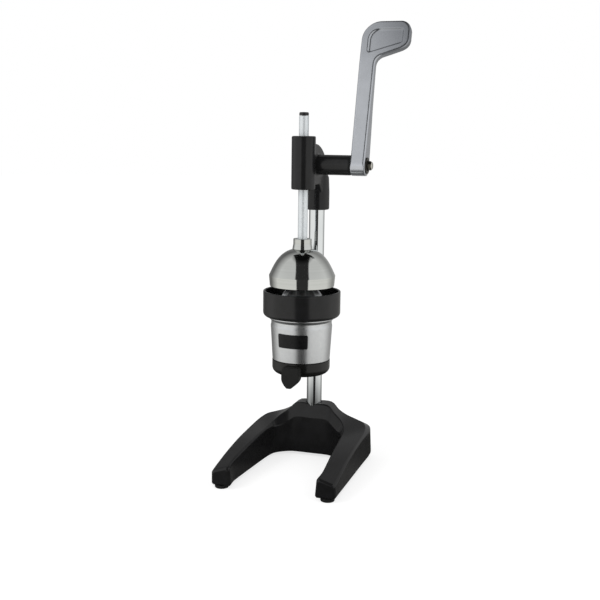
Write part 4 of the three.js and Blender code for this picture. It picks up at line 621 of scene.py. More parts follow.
cap = combined("DIFFERENCE", moved(spun(CAP, 3), SIDE_VIEW),
               moved(drill(ROD_CLEARANCE, -25, 25), Matrix.Translation((0, -SHAFT_Y, 0))))
piece("housing_cap", cap, shaft_place, "frame", ["gear_cap"], enamel)
RING_LEFT, RING_RIGHT, LUG_REACH, LUG_RADIUS = -9.2, -8.3, 18.9, 2
ring = slab(arc(0, 0, 22.4, 24, 336, 96) + arc(0, 0, 20.3, 336, 24, 96), RING_LEFT, RING_RIGHT, 0.15, 0.15, 2)
# A lug with a hole for the pliers stands in from each end of the ring.
eyes = arc(0, 0, LUG_REACH, 332, 388, 1)
lugs = [slab(arc(eye.x, eye.y, LUG_RADIUS, 0, 345, 23), RING_LEFT, RING_RIGHT) for eye in eyes]
holes = [moved(drill(0.9, -11, -7, 24), Matrix.Translation((eye.x, eye.y, 0))) for eye in eyes]
ring = combined("DIFFERENCE", combined("UNION", ring, *lugs), *holes)
piece("housing_retaining_ring", moved(ring, SIDE_VIEW), shaft_place, "frame", ["cap_ring"], oxide)

# Handle
# A cast arm with a flat front, a round boss below and a paddle-shaped grip above, in which a
# shallow recess is sunk. Its edges are rounded by linishing, and it is sprayed silver-grey.


def bend(*points, steps=12):
    """Points of a curve from its first point to its last, drawn to those between."""
    made = []
    for k in range(steps + 1):
        level = [Vector(p) for p in points]
        while len(level) > 1:
            level = [p.lerp(q, k / steps) for p, q in zip(level, level[1:])]
        made.append(level[0])
    return made


# Satin silver-grey enamel: a fine aluminium flake in a grey base under a thin clear film. It turns
# light softly, with a faint grain. A painted shade darkens it towards the grip's end, outwards and
# upwards. The flake is drawn coarser than it is.
silver, tree, where = blank("silver_grey_enamel")
flake = add(tree, "ShaderNodeTexVoronoi", None, {"Vector": where, "Scale": 1 / (0.2 * MM)}).outputs["Color"]
flake = add(tree, "ShaderNodeSeparateColor", None, {"Color": flake}).outputs[0]
at = add(tree, "ShaderNodeSeparateXYZ", None, {0: where}).outputs
# Painted shade: outwards along X and upwards, the grip is coloured towards a darker grey, #72757a.
outer = add(tree, "ShaderNodeMapRange", None,
            {"Value": at["X"], "From Min": 0.05, "From Max": 0.1, "To Max": 0.6}).outputs[0]
upper = add(tree, "ShaderNodeMapRange", None,
            {"Value": at["Z"], "From Min": 0.48, "From Max": 0.56, "To Max": 0.4}).outputs[0]
grip_shade = add(tree, "ShaderNodeMath", {"operation": "ADD"}, {0: outer, 1: upper}).outputs[0]
grey = add(tree, "ShaderNodeMix", {"data_type": "RGBA"},
           {0: grip_shade, 6: clouds(tree, where, 14, "#b5b8bd", "#babdc2", 1),
            7: colour("#72757a")}).outputs[2]
grain = add(tree, "ShaderNodeMapRange", None, {"Value": flake, "To Min": 0.12, "To Max": 0.2}).outputs[0]
shade(tree, {"Base Color": grey, "Metallic": 0.8, "IOR": 1.5, "Roughness": grain,
             "Normal": relief(tree, (clouds(tree, where, 8, detail=0), 0.02))})

# The arm is what its front outline and its side outline have in common. Both start at the shaft.
LEFT, NECK, RIGHT, REACH, HUB, GRIP_LEFT, GRIP_BACK = 55.1, 73.6, 114.5, 182, 12.7, 53.4, -2.7
OUTER_ROUND, INNER_ROUND = 13, 24
front_face = [Vector(p) for p in ((LEFT, -HUB), (NECK, -HUB), (NECK, 60), (NECK, 110))]
front_face += bend((NECK, 125), (NECK, 135.4), (83.2, 138.1))
front_face += bend((100.2, 144.1), (109.3, 147), (RIGHT, 151), (RIGHT, 159.1))
front_face += arc(RIGHT - OUTER_ROUND, REACH - OUTER_ROUND, OUTER_ROUND, 0, 90, 12)
front_face.append(Vector((90, REACH)))
front_face += arc(GRIP_LEFT + INNER_ROUND, REACH - INNER_ROUND, INNER_ROUND, 90, 180, 20)
front_face += [Vector(p) for p in ((GRIP_LEFT, 140), (GRIP_LEFT, 126), (LEFT, HUB))]
side_face = [Vector((-HUB, 60)), Vector((-HUB, 0))] + arc(0, 0, HUB, 180, 360, 32)[1:]
side_face += bend((HUB, 0), (9.14, 31.5), (2.8, 69.3))[1:]
side_face += bend((2.8, 69.3), (-0.6, 100), (GRIP_BACK, 126))[1:]
side_face += [Vector((GRIP_BACK, REACH)), Vector((-HUB, REACH))]
arm = combined("INTERSECT", moved(slab(front_face, -20, HUB, 0, 2.6, 8), FRONT_VIEW),
               moved(slab(side_face, 45, 125), SIDE_VIEW))
# The recess has sloping walls, so its cutter narrows as it goes in.
recess = rounded([(62.6, 139.8, 3), (106, 153.2, 3.4), (106, 171.8, 3.4), (62.6, 171.8, 14)], 8)
levels = ((13.4, -0.9), (12.7, -0.3), (12.3, 0.3), (11.2, 1.1), (10.7, 1.9))
cutter = skin([[Vector((p.x, p.y, w)) for p in drawn_in(recess, depth)] for w, depth in levels])
arm = combined("DIFFERENCE", arm, moved(cutter, FRONT_VIEW))
arm = worked(arm, ("REMESH", {"mode": "VOXEL", "voxel_size": 0.55}),
             ("SMOOTH", {"factor": 0.5, "iterations": 10}))
SQUARE_HOLE = 4.4
arm = combined("DIFFERENCE", arm, bar_from(-SQUARE_HOLE, -SQUARE_HOLE, SQUARE_HOLE, SQUARE_HOLE, 50, 80))
piece("handle_casting", arm, crank_place, "handle", ["handle_arm"], silver, 60)

# Washers and nut of the handle
# A plain washer, a split spring washer and a nut with a domed end, plated steel, hold the arm on
# the shaft's stud.

# Bright zinc: a soft mirror on the domed end, and a painted shade that colours the nut dark short of
# the domed end, towards the washers.
bright, tree, where = blank("bright_zinc_nut")
at = add(tree, "ShaderNodeSeparateXYZ", None, {0: where}).outputs["X"]
ram_x = ram_place.translation.x
# Painted shade: below the domed end the nut is coloured a dark #4b4a43.
end = add(tree, "ShaderNodeMapRange", None,
          {"Value": at, "From Min": ram_x + 79.15 * MM, "From Max": ram_x + 79.95 * MM}).outputs[0]
plate = add(tree, "ShaderNodeMix", {"data_type": "RGBA"},
            {0: end, 6: colour("#4b4a43"), 7: clouds(tree, where, 2.5, "#b3b1a9", "#c6c4bc")}).outputs[2]
shade(tree, {"Base Color": plate, "Metallic": 1,
             "Roughness": clouds(tree, where, 1, 0.15, 0.28),
             "Normal": relief(tree, (clouds(tree, where, 0.6), 0.005))})
STUD_HOLE, FLAT_RADIUS, FLAT_START, FLAT_END, SPRING_START, SPRING_END = 3.2, 10, 73.9, 75, 75.3, 76.4
flat = spun([(STUD_HOLE, FLAT_START, 0.15), (FLAT_RADIUS, FLAT_START, 0.3), (FLAT_RADIUS, FLAT_END, 0.3),
             (STUD_HOLE, FLAT_END, 0.15)], 2)
piece("handle_flat_washer", moved(flat, SIDE_VIEW), crank_place, "handle", ["handle_washer"], oxide)
split = arc(0, 0, 6.4, 6, 354, 64) + arc(0, 0, STUD_HOLE, 354, 6, 64)
spring = slab(split, SPRING_START, SPRING_END, 0.15, 0.15, 2)
piece("handle_spring_washer", moved(spring, SIDE_VIEW), crank_place, "handle", ["handle_lock_washer"],
      oxide)
NUT_START = SPRING_END + GAP
nut_dome = spun([(0, NUT_START), (4.8, NUT_START), (4.8, 80.1, 0.9), (3.6, 80.9, 1), (0, 81.2)], 4)
nut = combined("UNION", hexagon(5.8, NUT_START, STUD_END, 0.6), nut_dome)
nut = combined("DIFFERENCE", nut, drill(STUD_HOLE, FLAT_END, STUD_END + 0.2))
piece("handle_cap_nut", moved(nut, SIDE_VIEW), crank_place, "handle", ["handle_nut"], bright)

# Ram rod and its cap
# A ground bar, satin chromed, with rack teeth cut along its back for the pinion. A moulded plug
# closes its upper end.

# The comb that cuts the spaces between the teeth, drawn in side view from the rod's back inwards.
PITCH, SPACES_ABOVE, SPACES_BELOW = 1.5 * math.pi, 8, 17
TOOTH_ROOT, SPACE_OUTSIDE, SPACE_AT_ROOT = 2.63, 1.84, 0.61
comb_foot, comb_top = SHAFT_Z - SPACES_BELOW * PITCH, SHAFT_Z + SPACES_ABOVE * PITCH
comb = [Vector(p) for p in ((8, comb_foot), (8, comb_top), (SLIDE_BORE, comb_top))]
for k in range(SPACES_ABOVE - 1, -SPACES_BELOW, -1):
    level = SHAFT_Z + k * PITCH
    comb += [Vector(p) for p in ((ROD_RADIUS, level + SPACE_OUTSIDE), (TOOTH_ROOT, level + SPACE_AT_ROOT),
                                 (TOOTH_ROOT, level - SPACE_AT_ROOT), (ROD_RADIUS, level - SPACE_OUTSIDE))]
comb.append(Vector((SLIDE_BORE, comb_foot)))
# Satin chrome: paler than the column's plate, and milky, because the fine lines that the linishing
# left along the rod scatter the light. They are drawn far coarser than they are.
satin, tree, where = blank("satin_chrome_plate")
lines = add(tree, "ShaderNodeMapping", None, {"Vector": where, "Scale": (1, 1, 0.02)}).outputs[0]
shade(tree, {"Base Color": clouds(tree, where, 30, "#dbe1e4", "#e3e7e9"), "Metallic": 0.42,
             "Roughness": clouds(tree, lines, 3, 0.36, 0.42, 1),
             "Normal": relief(tree, (clouds(tree, lines, 4, detail=1), 0.001))})
ROD_FOOT, ROD_TOP, DOME_BOLT_HOLE, PLUG_FOOT, PLUG_STEM, PLUG_RADIUS = 285.5, 444.8, 3.3, 439.8, 2.5, 5.8
rod = spun([(0, ROD_FOOT), (ROD_RADIUS, ROD_FOOT, 0.5), (ROD_RADIUS, ROD_TOP, 0.5), (0, ROD_TOP)], 3)
rod = combined("DIFFERENCE", rod, moved(slab(comb, -8, 8), SIDE_VIEW), drill(DOME_BOLT_HOLE, 280, 297.8),
               drill(PLUG_STEM + GAP, PLUG_FOOT - GAP, 450))
piece("ram_rod_bar", rod, ram_place, "ram", ["ram_rod"], satin)
# Moulded nylon: black, with a soft sheen and a barely rough skin.
nylon, tree, where = blank("moulded_black_nylon")
shade(tree, {"Base Color": clouds(tree, where, 2.5, "#0f0f0f", "#171717"), "IOR": 1.53,
             "Roughness": clouds(tree, where, 1.4, 0.34, 0.48),
             "Normal": relief(tree, (clouds(tree, where, 0.6), 0.012))})
plug = spun([(0, PLUG_FOOT), (PLUG_STEM, PLUG_FOOT, 0.4), (PLUG_STEM, ROD_TOP + GAP),
             (PLUG_RADIUS, ROD_TOP + GAP, 0.2), (PLUG_RADIUS, 449, 1.4), (0, 449.2)], 5, 64)
piece("rod_end_plug", plug, ram_place, "ram", ["rod_cap"], nylon)

# Pressing dome and its collar
# The dome is spun from stainless sheet with an upright band at its rim. The turned collar sits on
# it and on the rod's end, and a bolt and washer from inside hold all three together.


def radius_from_ram(tree, where):
    """The distance of each place from the ram's axis, in metres."""
    apart = add(tree, "ShaderNodeVectorMath", {"operation": "SUBTRACT"},
                {0: where, 1: tuple(ram_place.translation)}).outputs[0]
    level = add(tree, "ShaderNodeVectorMath", {"operation": "MULTIPLY"}, {0: apart, 1: (1, 1, 0)}).outputs[0]
    return add(tree, "ShaderNodeVectorMath", {"operation": "LENGTH"}, {0: level}).outputs["Value"]


def lathe_track(tree, where):
    """Places as their radius and their height, so that a pattern over them runs in rings."""
    height = add(tree, "ShaderNodeSeparateXYZ", None, {0: where}).outputs["Z"]
    return add(tree, "ShaderNodeCombineXYZ", None,
               {"X": radius_from_ram(tree, where), "Y": height}).outputs[0]


# Polished spun stainless: neutral grey metal, polished by rings of fine abrasive marks about its
# axis, which pull what it mirrors up and down. The rings are drawn coarser than they are.
polished, tree, where = blank("polished_spun_stainless")
track = lathe_track(tree, where)
shade(tree, {"Base Color": clouds(tree, track, 3, "#babcb9", "#c1c3c0"), "Metallic": 1,
             "Roughness": clouds(tree, track, 2, 0.04, 0.09, 1), "Anisotropic": 0.3,
             "Normal": relief(tree, (clouds(tree, track, 3, detail=1), 0.001)),
             "Tangent": add(tree, "ShaderNodeTangent", {"direction_type": "RADIAL", "axis": "Z"}).outputs[0]})


DOME_RADIUS, DOME_RIM, BAND_TOP, DOME_TOP, DOME_SHEET, FLAT, BOW = 41.3, 236.5, 249.7, 282, 1.6, 12.5, 18.5


def flank(radius, top, steps=28):
    """Points up the dome's side from the band to the flat top, bowed outwards, more towards the top."""
    run, rise = radius - FLAT, top - BAND_TOP
    length = math.hypot(run, rise)
    points = []
    for k in range(steps + 1):
        t = k / steps
        out = BOW * t * (1 - t) * (0.72 + 0.8 * t)
        points.append((radius - run * t + out * rise / length, BAND_TOP + rise * t + out * run / length))
    return points


# The outline goes up the outside from the rim, across the bolt's hole and down the inside.
shell = [(39.2, DOME_RIM), (40, DOME_RIM, 0.25), (40.2, 237, 0.25)] + flank(DOME_RADIUS, DOME_TOP)
shell += [(DOME_BOLT_HOLE, DOME_TOP), (DOME_BOLT_HOLE, DOME_TOP - DOME_SHEET)]
shell += flank(DOME_RADIUS - DOME_SHEET, DOME_TOP - DOME_SHEET)[::-1] + [(38.6, 237)]
piece("pressing_dome", spun(shell, 3, 192), ram_place, "ram", ["dome"], polished, 15)
COLLAR_FOOT, COLLAR_TOP, COLLAR_RADIUS, ROD_SEAT = DOME_TOP + GAP, 295.4, 11.4, ROD_FOOT - GAP
COLLAR = [(DOME_BOLT_HOLE, COLLAR_FOOT), (FLAT, COLLAR_FOOT, 0.3), (12.3, 283.9, 1),
          (COLLAR_RADIUS, 288.6, 5), (COLLAR_RADIUS, COLLAR_TOP, 0.7), (SLIDE_BORE, COLLAR_TOP, 0.6),
          (SLIDE_BORE, ROD_SEAT), (DOME_BOLT_HOLE, ROD_SEAT)]
piece("dome_collar_ring", spun(COLLAR, 5, 128), ram_place, "ram", ["dome_collar"], polished)
DISC_RADIUS, DISC_FOOT, DISC_TOP = 8.5, 278.7, DOME_TOP - DOME_SHEET - GAP
DISC = [(DOME_BOLT_HOLE, DISC_FOOT, 0.2), (DISC_RADIUS, DISC_FOOT, 0.4), (DISC_RADIUS, DISC_TOP, 0.3),
        (DOME_BOLT_HOLE, DISC_TOP)]
piece("dome_bolt_washer", spun(DISC, 2, 64), ram_place, "ram", ["dome_washer"], zinc)
bolt = combined("UNION", hexagon(5.5, 274.8, DISC_FOOT - GAP, 0.5), drill(3, 276, 297.5))
piece("dome_bolt_head", bolt, ram_place, "ram", ["dome_bolt"], zinc)

# Cup and its bare name plate
# The cup is spun from stainless sheet: a tapered wall, a waist under the ring, a shoulder and a
# flange that hangs on the ring's ledge. The plate is a thin black-lacquered sheet glued to it.
CUP_SHEET, CUP_FOOT, CUP_FOOT_RADIUS, BELT, BELT_RADIUS = 1.2, 143.7, 36.1, 186.6, 38.64
WAIST, WAIST_LOW, WAIST_HIGH, SHOULDER, SHOULDER_FOOT = 38, 189.8, 193.2, 41.2, 196.4
FLANGE, FLANGE_FOOT, TRAY_HOLE = 44, 202.7, 30.6
CUP = [(CUP_FOOT_RADIUS, CUP_FOOT, 1), (BELT_RADIUS, BELT, 1), (WAIST, WAIST_LOW, 1),
       (WAIST, WAIST_HIGH, 1.5), (SHOULDER, SHOULDER_FOOT, 1.5), (SHOULDER, FLANGE_FOOT, 0.5),
       (FLANGE, FLANGE_FOOT, 0.3),
       (FLANGE, FLANGE_FOOT + CUP_SHEET, 0.3), (SHOULDER - CUP_SHEET, FLANGE_FOOT + CUP_SHEET, 0.8),
       (SHOULDER - CUP_SHEET, SHOULDER_FOOT, 1), (WAIST - CUP_SHEET, WAIST_HIGH, 1),
       (WAIST - CUP_SHEET, WAIST_LOW, 1), (BELT_RADIUS - CUP_SHEET, BELT, 1),
       (CUP_FOOT_RADIUS - CUP_SHEET, CUP_FOOT + CUP_SHEET, 0.5), (TRAY_HOLE, CUP_FOOT + CUP_SHEET),
       (TRAY_HOLE, CUP_FOOT)]
# Satin stainless: the sheet after a fine bead blast and a light brushing, both drawn coarser than
# they are, so it mirrors in soft broad bands.
blasted, tree, where = blank("satin_blasted_stainless")
shade(tree, {"Base Color": clouds(tree, where, 4, "#c3c5c7", "#cacccd"), "Metallic": 1,
             "Roughness": clouds(tree, where, 0.8, 0.27, 0.36),
             "Normal": relief(tree, (clouds(tree, lathe_track(tree, where), 1), 0.001),
                              (clouds(tree, where, 0.8), 0.001))})
piece("juice_cup", spun(CUP, 5, 192), ram_place, "cup", ["cup"], blasted)
# Lacquered aluminium: a smooth black film, a little glossier than the castings, with light scuffs.
lacquer, tree, where = blank("black_lacquered_sheet")
shade(tree, {"Base Color": clouds(tree, where, 4, "#0d0d0e", "#141415"), "IOR": 1.5,
             "Specular IOR Level": 0.2, "Roughness": clouds(tree, where, 2.5, 0.24, 0.38),
             "Normal": relief(tree, (clouds(tree, where, 1.5), 0.01))})
# The plate follows the cup's wall: upright sections side by side, their ends lower at its corners.
PLATE_HALF, PLATE_LOW, PLATE_HIGH, PLATE_CORNER, PLATE_STEPS = 19.6, 163, 180.5, 1.6, 64
GLUE, PLATE_SKIN, PLATE_BEND = 0.03, 0.6, 37.7
slope = (BELT_RADIUS - CUP_FOOT_RADIUS) / (BELT - CUP_FOOT)
plate_rings = []
for k in range(PLATE_STEPS + 1):
    along = PLATE_HALF * (2 * k / PLATE_STEPS - 1)
    from_end = PLATE_HALF - abs(along)
    drop = 0
    if from_end < PLATE_CORNER:
        drop = PLATE_CORNER - math.sqrt(PLATE_CORNER ** 2 - (PLATE_CORNER - from_end) ** 2)
    section = []
    for height, out in ((PLATE_LOW + drop, GLUE), (PLATE_LOW + drop, PLATE_SKIN),
                        (PLATE_HIGH - drop, PLATE_SKIN), (PLATE_HIGH - drop, GLUE)):
        radius = BELT_RADIUS - (BELT - height) * slope + out
        section.append((radius, height) if out == GLUE else (radius, height, 0.2))
    turn = along / PLATE_BEND - math.pi / 2
    plate_rings.append([Vector((p.x * math.cos(turn), p.x * math.sin(turn), p.y))
                        for p in rounded(section, 3)])
piece("bare_name_plate", skin(plate_rings), ram_place, "cup", [], lacquer)

# Spout tray
# Injection moulded in black plastic, bowl and spout in one. The bowl is glossy and clips up into the
# cup's foot. The spout was blasted in its mould, so it is dull.
BOWL_RADIUS, BOWL_FOOT, BOWL_WALL, BOWL_TOP = 36.4, 125.9, 1.8, CUP_FOOT - GAP
SPIGOT, SPIGOT_WALL, SPIGOT_TOP = TRAY_HOLE - GAP, 1.6, 149.9
BOWL = [(0, BOWL_FOOT), (BOWL_RADIUS, BOWL_FOOT, 8), (BOWL_RADIUS, BOWL_TOP, 0.6), (SPIGOT, BOWL_TOP),
        (SPIGOT, SPIGOT_TOP, 0.4), (SPIGOT - SPIGOT_WALL, SPIGOT_TOP, 0.4),
        (SPIGOT - SPIGOT_WALL, BOWL_TOP - BOWL_WALL), (34.2, BOWL_TOP - BOWL_WALL),
        (34.2, BOWL_FOOT + BOWL_WALL, 6.2), (0, BOWL_FOOT + BOWL_WALL)]
bowl = spun(BOWL, 8, 160)
# The spout is what its front outline and its side outline have in common, with a channel down it.
front = [Vector((2.4, 115.7))] + bend((3.2, 116), (7.4, 119.6), (11.5, 122.8), (11.5, 129))
front += bend((11.5, 136), (11.5, 140.8), (7, 140.8), steps=6)
front += [Vector((-p.x, p.y)) for p in reversed(front)]
side = [Vector((-18, 126.2)), Vector((-18, 140.8)), Vector((-40, 140.8))]
side += bend((-42, 139.5), (-44, 128), (-50.3, 115.7)) + [Vector((-42.5, 115.7)), Vector((-29, 126.2))]
spout = combined("INTERSECT", moved(slab(front, -10, 60), FRONT_VIEW),
                 moved(slab(side, -14, 14), SIDE_VIEW))
spout = combined("DIFFERENCE", spout, drill(35, 120, 150, 160))
spout = worked(spout, ("REMESH", {"mode": "VOXEL", "voxel_size": 0.5}),
               ("SMOOTH", {"factor": 0.5, "iterations": 8}))
CHANNEL = 3
run = bend((-28, 130.7), (-45.5, 130.7), (-45.5, 112))
channel = []
for k, here in enumerate(run):
    onward = (run[min(k + 1, len(run) - 1)] - run[max(k - 1, 0)]).normalized() * CHANNEL
    channel.append([Vector((CHANNEL * math.cos(a), here.x - onward.y * math.sin(a),
                            here.y + onward.x * math.sin(a)))
                    for a in (2 * math.pi * n / 32 for n in range(32))])
tray = combined("DIFFERENCE", combined("UNION", bowl, spout), skin(channel))
# Moulded ABS: the bowl glossy and the spout matt, with faint flow marks.
abs_plastic, tree, where = blank("moulded_black_abs")
outward = add(tree, "ShaderNodeMapRange", None,
              {"Value": radius_from_ram(tree, where), "From Min": (BOWL_RADIUS + 0.4) * MM,
               "From Max": (BOWL_RADIUS + 1) * MM}).outputs[0]
dull = add(tree, "ShaderNodeMix", None, {0: outward, 2: clouds(tree, where, 3, 0.12, 0.24),
                                         3: clouds(tree, where, 1, 0.5, 0.62)}).outputs[0]
shade(tree, {"Base Color": clouds(tree, where, 6, "#111110", "#171716"), "IOR": 1.53,
             "Specular IOR Level": 0.25, "Roughness": dull,
             "Normal": relief(tree, (clouds(tree, where, 7, detail=1), 0.02),
                              (clouds(tree, where, 0.6), 0.01))})
piece("spout_tray_moulding", tray, ram_place, "cup", ["spout_tray"], abs_plastic, 40)

# Strainer, reamer and the screw between them
# The strainer is pressed from stainless sheet with radial slots round its floor. The hollow reamer
# is die-cast aluminium, tumbled smooth, and a screw from below joins the two.
SIEVE_FOOT, SIEVE_SHEET, SIEVE_FLANGE, SIEVE_RADIUS, TIE_HOLE = 198.4, 1.2, 204.2, 43.7, 2.3
SIEVE = [(TIE_HOLE, SIEVE_FOOT), (38, SIEVE_FOOT, 1.6), (38.5, SIEVE_FLANGE, 0.6),
         (SIEVE_RADIUS, SIEVE_FLANGE, 0.3), (SIEVE_RADIUS, SIEVE_FLANGE + SIEVE_SHEET, 0.3),
         (37.4, SIEVE_FLANGE + SIEVE_SHEET, 0.8), (36.9, SIEVE_FOOT + SIEVE_SHEET, 0.8),
         (TIE_HOLE, SIEVE_FOOT + SIEVE_SHEET)]
sieve = spun(SIEVE, 4, 160)
SLOTS, SLOT_IN, SLOT_OUT, SLOT_HALF = 36, 33.2, 35.4, 0.8
slots = []
for k in range(SLOTS):
    slot = arc(SLOT_IN, 0, SLOT_HALF, 90, 270, 8) + arc(SLOT_OUT, 0, SLOT_HALF, -90, 90, 8)
    slots.append(moved(slab(slot, 197, 201), Matrix.Rotation(2 * math.pi * k / SLOTS, 4, "Z")))
sieve = combined("DIFFERENCE", sieve, *slots)
piece("slotted_strainer", sieve, ram_place, "strainer", ["strainer"], blasted)
# Tumbled aluminium: a pale soft metal, evenly dulled, with small pits left by the tumbling stones.
tumbled, tree, where = blank("tumbled_cast_aluminium")
shade(tree, {"Base Color": clouds(tree, where, 4, "#b4b6b8", "#c6c8c9"), "Metallic": 1,
             "Roughness": clouds(tree, where, 1.5, 0.3, 0.46),
             "Normal": relief(tree, (clouds(tree, where, 0.8), 0.012))})
# The cone's side, as shares of its radius and of its height, and round it the twelve ribs with a
# valley between each two.
CONE = [(1, 0), (0.98, 0.16), (0.92, 0.34), (0.82, 0.52), (0.66, 0.7), (0.46, 0.86), (0.24, 0.96), (0.08, 1)]
CONE_RADIUS, CONE_FOOT, CONE_HEIGHT = 33, SIEVE_FOOT + SIEVE_SHEET + GAP, 42
RIBS, VALLEY, CONE_TURNS = 12, 0.11, 240
padded = CONE[:1] + CONE + CONE[-1:]
levels = [glide(*padded[k:k + 4], t) for k in range(len(CONE) - 1) for t in QUARTERS] + CONE[-1:]
rings = []
for share, rise in levels:
    ring = []
    for k in range(CONE_TURNS):
        angle = 2 * math.pi * k / CONE_TURNS
        valley = VALLEY * math.sin((RIBS / 2 * angle) % math.pi) ** 0.8
        radius = CONE_RADIUS * share * (1 - valley)
        ring.append(Vector((radius * math.cos(angle), radius * math.sin(angle),
                            CONE_FOOT + CONE_HEIGHT * rise)))
    rings.append(ring)
cone = skin(rings)
hollow = spun([(0, 195), (26.9, 195), (26.9, 202), (26.3, 206.4), (24.6, 213.8), (21.9, 221), (17.6, 228.4),
               (12.3, 234.9), (6.2, 238.9), (0, 239.4)], 1, 96)
# A boss for the screw stays standing in the middle of the hollow.
hollow = combined("DIFFERENCE", hollow, drill(5, 190, 245))
TIE_HEAD, TIE_SEAT, TIE_SHANK, TIE_END = 4, SIEVE_FOOT - GAP, TIE_HOLE - GAP, 213.9
cone = combined("DIFFERENCE", cone, hollow, drill(TIE_HOLE, 190, TIE_END + GAP))
piece("ridged_reamer", cone, ram_place, "strainer", ["reamer_cone"], tumbled, 30)
TIE_SCREW = [(0, TIE_SEAT - 2), (3.2, TIE_SEAT - 2, 0.6), (TIE_HEAD, TIE_SEAT - 0.8, 0.4),
             (TIE_HEAD, TIE_SEAT), (TIE_SHANK, TIE_SEAT), (TIE_SHANK, TIE_END), (0, TIE_END)]
piece("reamer_fixing", spun(TIE_SCREW, 3, 48), ram_place, "strainer", ["reamer_screw"], zinc)

# Light and floor
# A white board under the press that runs out to a white background, and a studio of large soft
# boxes. The dark gap between the boxes, straight in front, gives the steel its dark upright stripe.


def soft_boxes(tree, direction):
    """How bright the studio looks in a direction. It has a dark gap towards the camera, and the room
    behind the press is dim, less so on the right."""
    lateral = add(tree, "ShaderNodeVectorMath", {"operation": "DOT_PRODUCT"},
                  {0: direction, 1: (math.cos(CAMERA_TURN), math.sin(CAMERA_TURN), 0)}).outputs["Value"]
    frontal = add(tree, "ShaderNodeVectorMath", {"operation": "DOT_PRODUCT"},
                  {0: direction, 1: (math.sin(CAMERA_TURN), -math.cos(CAMERA_TURN), 0)}).outputs["Value"]
    aside = add(tree, "ShaderNodeMath", {"operation": "ABSOLUTE"}, {0: lateral}).outputs[0]
    back = add(tree, "ShaderNodeMath", {"operation": "MULTIPLY"}, {0: frontal, 1: -1}).outputs[0]
    aside = add(tree, "ShaderNodeMath", {"operation": "MAXIMUM"}, {0: aside, 1: back}).outputs[0]
    gap = add(tree, "ShaderNodeMapRange", {"interpolation_type": "SMOOTHSTEP"},
              {"Value": aside, "From Min": 0.33, "From Max": 0.38, "To Min": 0.04, "To Max": 0.92}).outputs[0]
    wall = add(tree, "ShaderNodeMapRange", None,
               {"Value": lateral, "From Min": -0.3, "From Max": 0.3, "To Min": 0.2, "To Max": 0.4}).outputs[0]
    rear = add(tree, "ShaderNodeMapRange", None,
               {"Value": frontal, "From Min": -0.7, "From Max": -0.1, "To Min": wall, "To Max": 1}).outputs[0]
    return add(tree, "ShaderNodeMath", {"operation": "MULTIPLY"}, {0: gap, 1: rear}).outputs[0]


world = bpy.data.worlds.new("studio")
scene.world = world
world.use_nodes = True
tree = world.node_tree
tree.nodes.clear()
direction = add(tree, "ShaderNodeTexCoord").outputs["Generated"]
boxes = soft_boxes(tree, direction)
height = add(tree, "ShaderNodeSeparateXYZ", None, {0: direction}).outputs["Z"]
roof = add(tree, "ShaderNodeMapRange", None,
           {"Value": height, "From Min": 0.86, "From Max": 0.97, "To Min": 1, "To Max": 0.15}).outputs[0]
rise = add(tree, "ShaderNodeMapRange", None,
           {"Value": height, "From Min": 0.1, "From Max": 0.6, "To Min": 1.2, "To Max": 0.95}).outputs[0]
roof = add(tree, "ShaderNodeMath", {"operation": "MULTIPLY"}, {0: roof, 1: rise}).outputs[0]
studio = add(tree, "ShaderNodeMath", {"operation": "MULTIPLY"}, {0: boxes, 1: roof}).outputs[0]
path = add(tree, "ShaderNodeLightPath")
seen = add(tree, "ShaderNodeMath", {"operation": "MAXIMUM"},
           {0: path.outputs["Is Camera Ray"], 1: path.outputs["Is Transmission Ray"]}).outputs[0]
shiny = add(tree, "ShaderNodeMix", None, {0: path.outputs["Is Glossy Ray"], 2: 0.7, 3: studio}).outputs[0]
level = add(tree, "ShaderNodeMix", None, {0: seen, 2: shiny, 3: 1}).outputs[0]
sky = add(tree, "ShaderNodeBackground", None, {"Color": level})
add(tree, "ShaderNodeOutputWorld", None, {"Surface": sky.outputs[0]})
world.cycles.sampling_method = "NONE"

# Two soft lamps light what is dull. Nothing mirrors them.
LAMP_TARGET = Vector((0, 0, 0.25))
for name, power, size, place in (("key", 7, 0.7, (-0.9, -0.9, 1.3)), ("fill", 3, 0.9, (1.2, -0.5, 0.9))):
    lamp = bpy.data.lights.new(name, "AREA")
    lamp.energy, lamp.size = power, size
    holder = bpy.data.objects.new(name, lamp)
    away = Vector(place) - LAMP_TARGET
    holder.matrix_world = Matrix.Translation(place) @ away.to_track_quat("Z", "Y").to_matrix().to_4x4()
    holder.visible_glossy = False
    scene.collection.objects.link(holder)

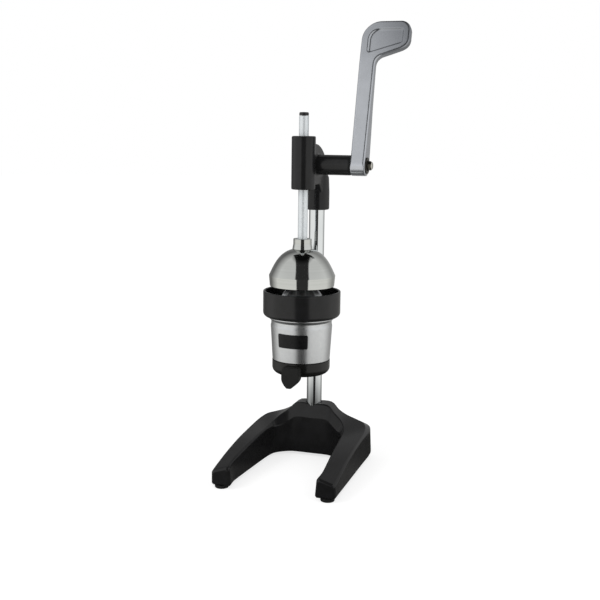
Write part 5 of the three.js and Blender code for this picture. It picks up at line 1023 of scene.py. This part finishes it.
# The camera sees the board as white. In the metal it looks like the studio behind it, darker close
# to the press, and only the light that it throws on the press is a plain board's.
floor_material = bpy.data.materials.new("white_sweep_board")
floor_material.use_nodes = True
tree = floor_material.node_tree
tree.nodes.clear()
path = add(tree, "ShaderNodeLightPath")
where = add(tree, "ShaderNodeTexCoord").outputs["Object"]
flat = add(tree, "ShaderNodeVectorMath", {"operation": "NORMALIZE"}, {0: where}).outputs[0]
distance = add(tree, "ShaderNodeVectorMath", {"operation": "LENGTH"}, {0: where}).outputs["Value"]
nearness = add(tree, "ShaderNodeMapRange", None, {"Value": distance, "From Min": 0.18, "From Max": 0.45,
                                                  "To Min": 0.12, "To Max": 1.15}).outputs[0]
mirrored = add(tree, "ShaderNodeMath", {"operation": "MULTIPLY"},
               {0: soft_boxes(tree, flat), 1: nearness}).outputs[0]
mirrored = add(tree, "ShaderNodeEmission", None, {"Color": colour("#fffefb"), "Strength": mirrored})
board = add(tree, "ShaderNodeBsdfDiffuse", None, {"Color": clouds(tree, where, 25, 0.395, 0.405)})
glow = add(tree, "ShaderNodeEmission", {}, {"Color": (1, 1, 1, 1), "Strength": 0.73})
lit = add(tree, "ShaderNodeAddShader", None, {0: board.outputs[0], 1: glow.outputs[0]})
plain = add(tree, "ShaderNodeBsdfDiffuse", None, {"Color": (0.8, 0.8, 0.8, 1)})
both = add(tree, "ShaderNodeMixShader", None,
           {0: path.outputs["Is Camera Ray"], 1: plain.outputs[0], 2: lit.outputs[0]})
all_three = add(tree, "ShaderNodeMixShader", None,
                {0: path.outputs["Is Glossy Ray"], 1: both.outputs[0], 2: mirrored.outputs[0]})
add(tree, "ShaderNodeOutputMaterial", None, {"Surface": all_three.outputs[0]})
BOARD_RADIUS, BOARD_STEPS = 8, 96
edge = [2 * math.pi * k / BOARD_STEPS for k in range(BOARD_STEPS)]
edge = [(BOARD_RADIUS * math.cos(a), BOARD_RADIUS * math.sin(a), 0) for a in edge]
sweep = bpy.data.objects.new("white_sweep", mesh_from(edge, [list(range(BOARD_STEPS))]))
sweep.data.materials.append(floor_material)
scene.collection.objects.link(sweep)
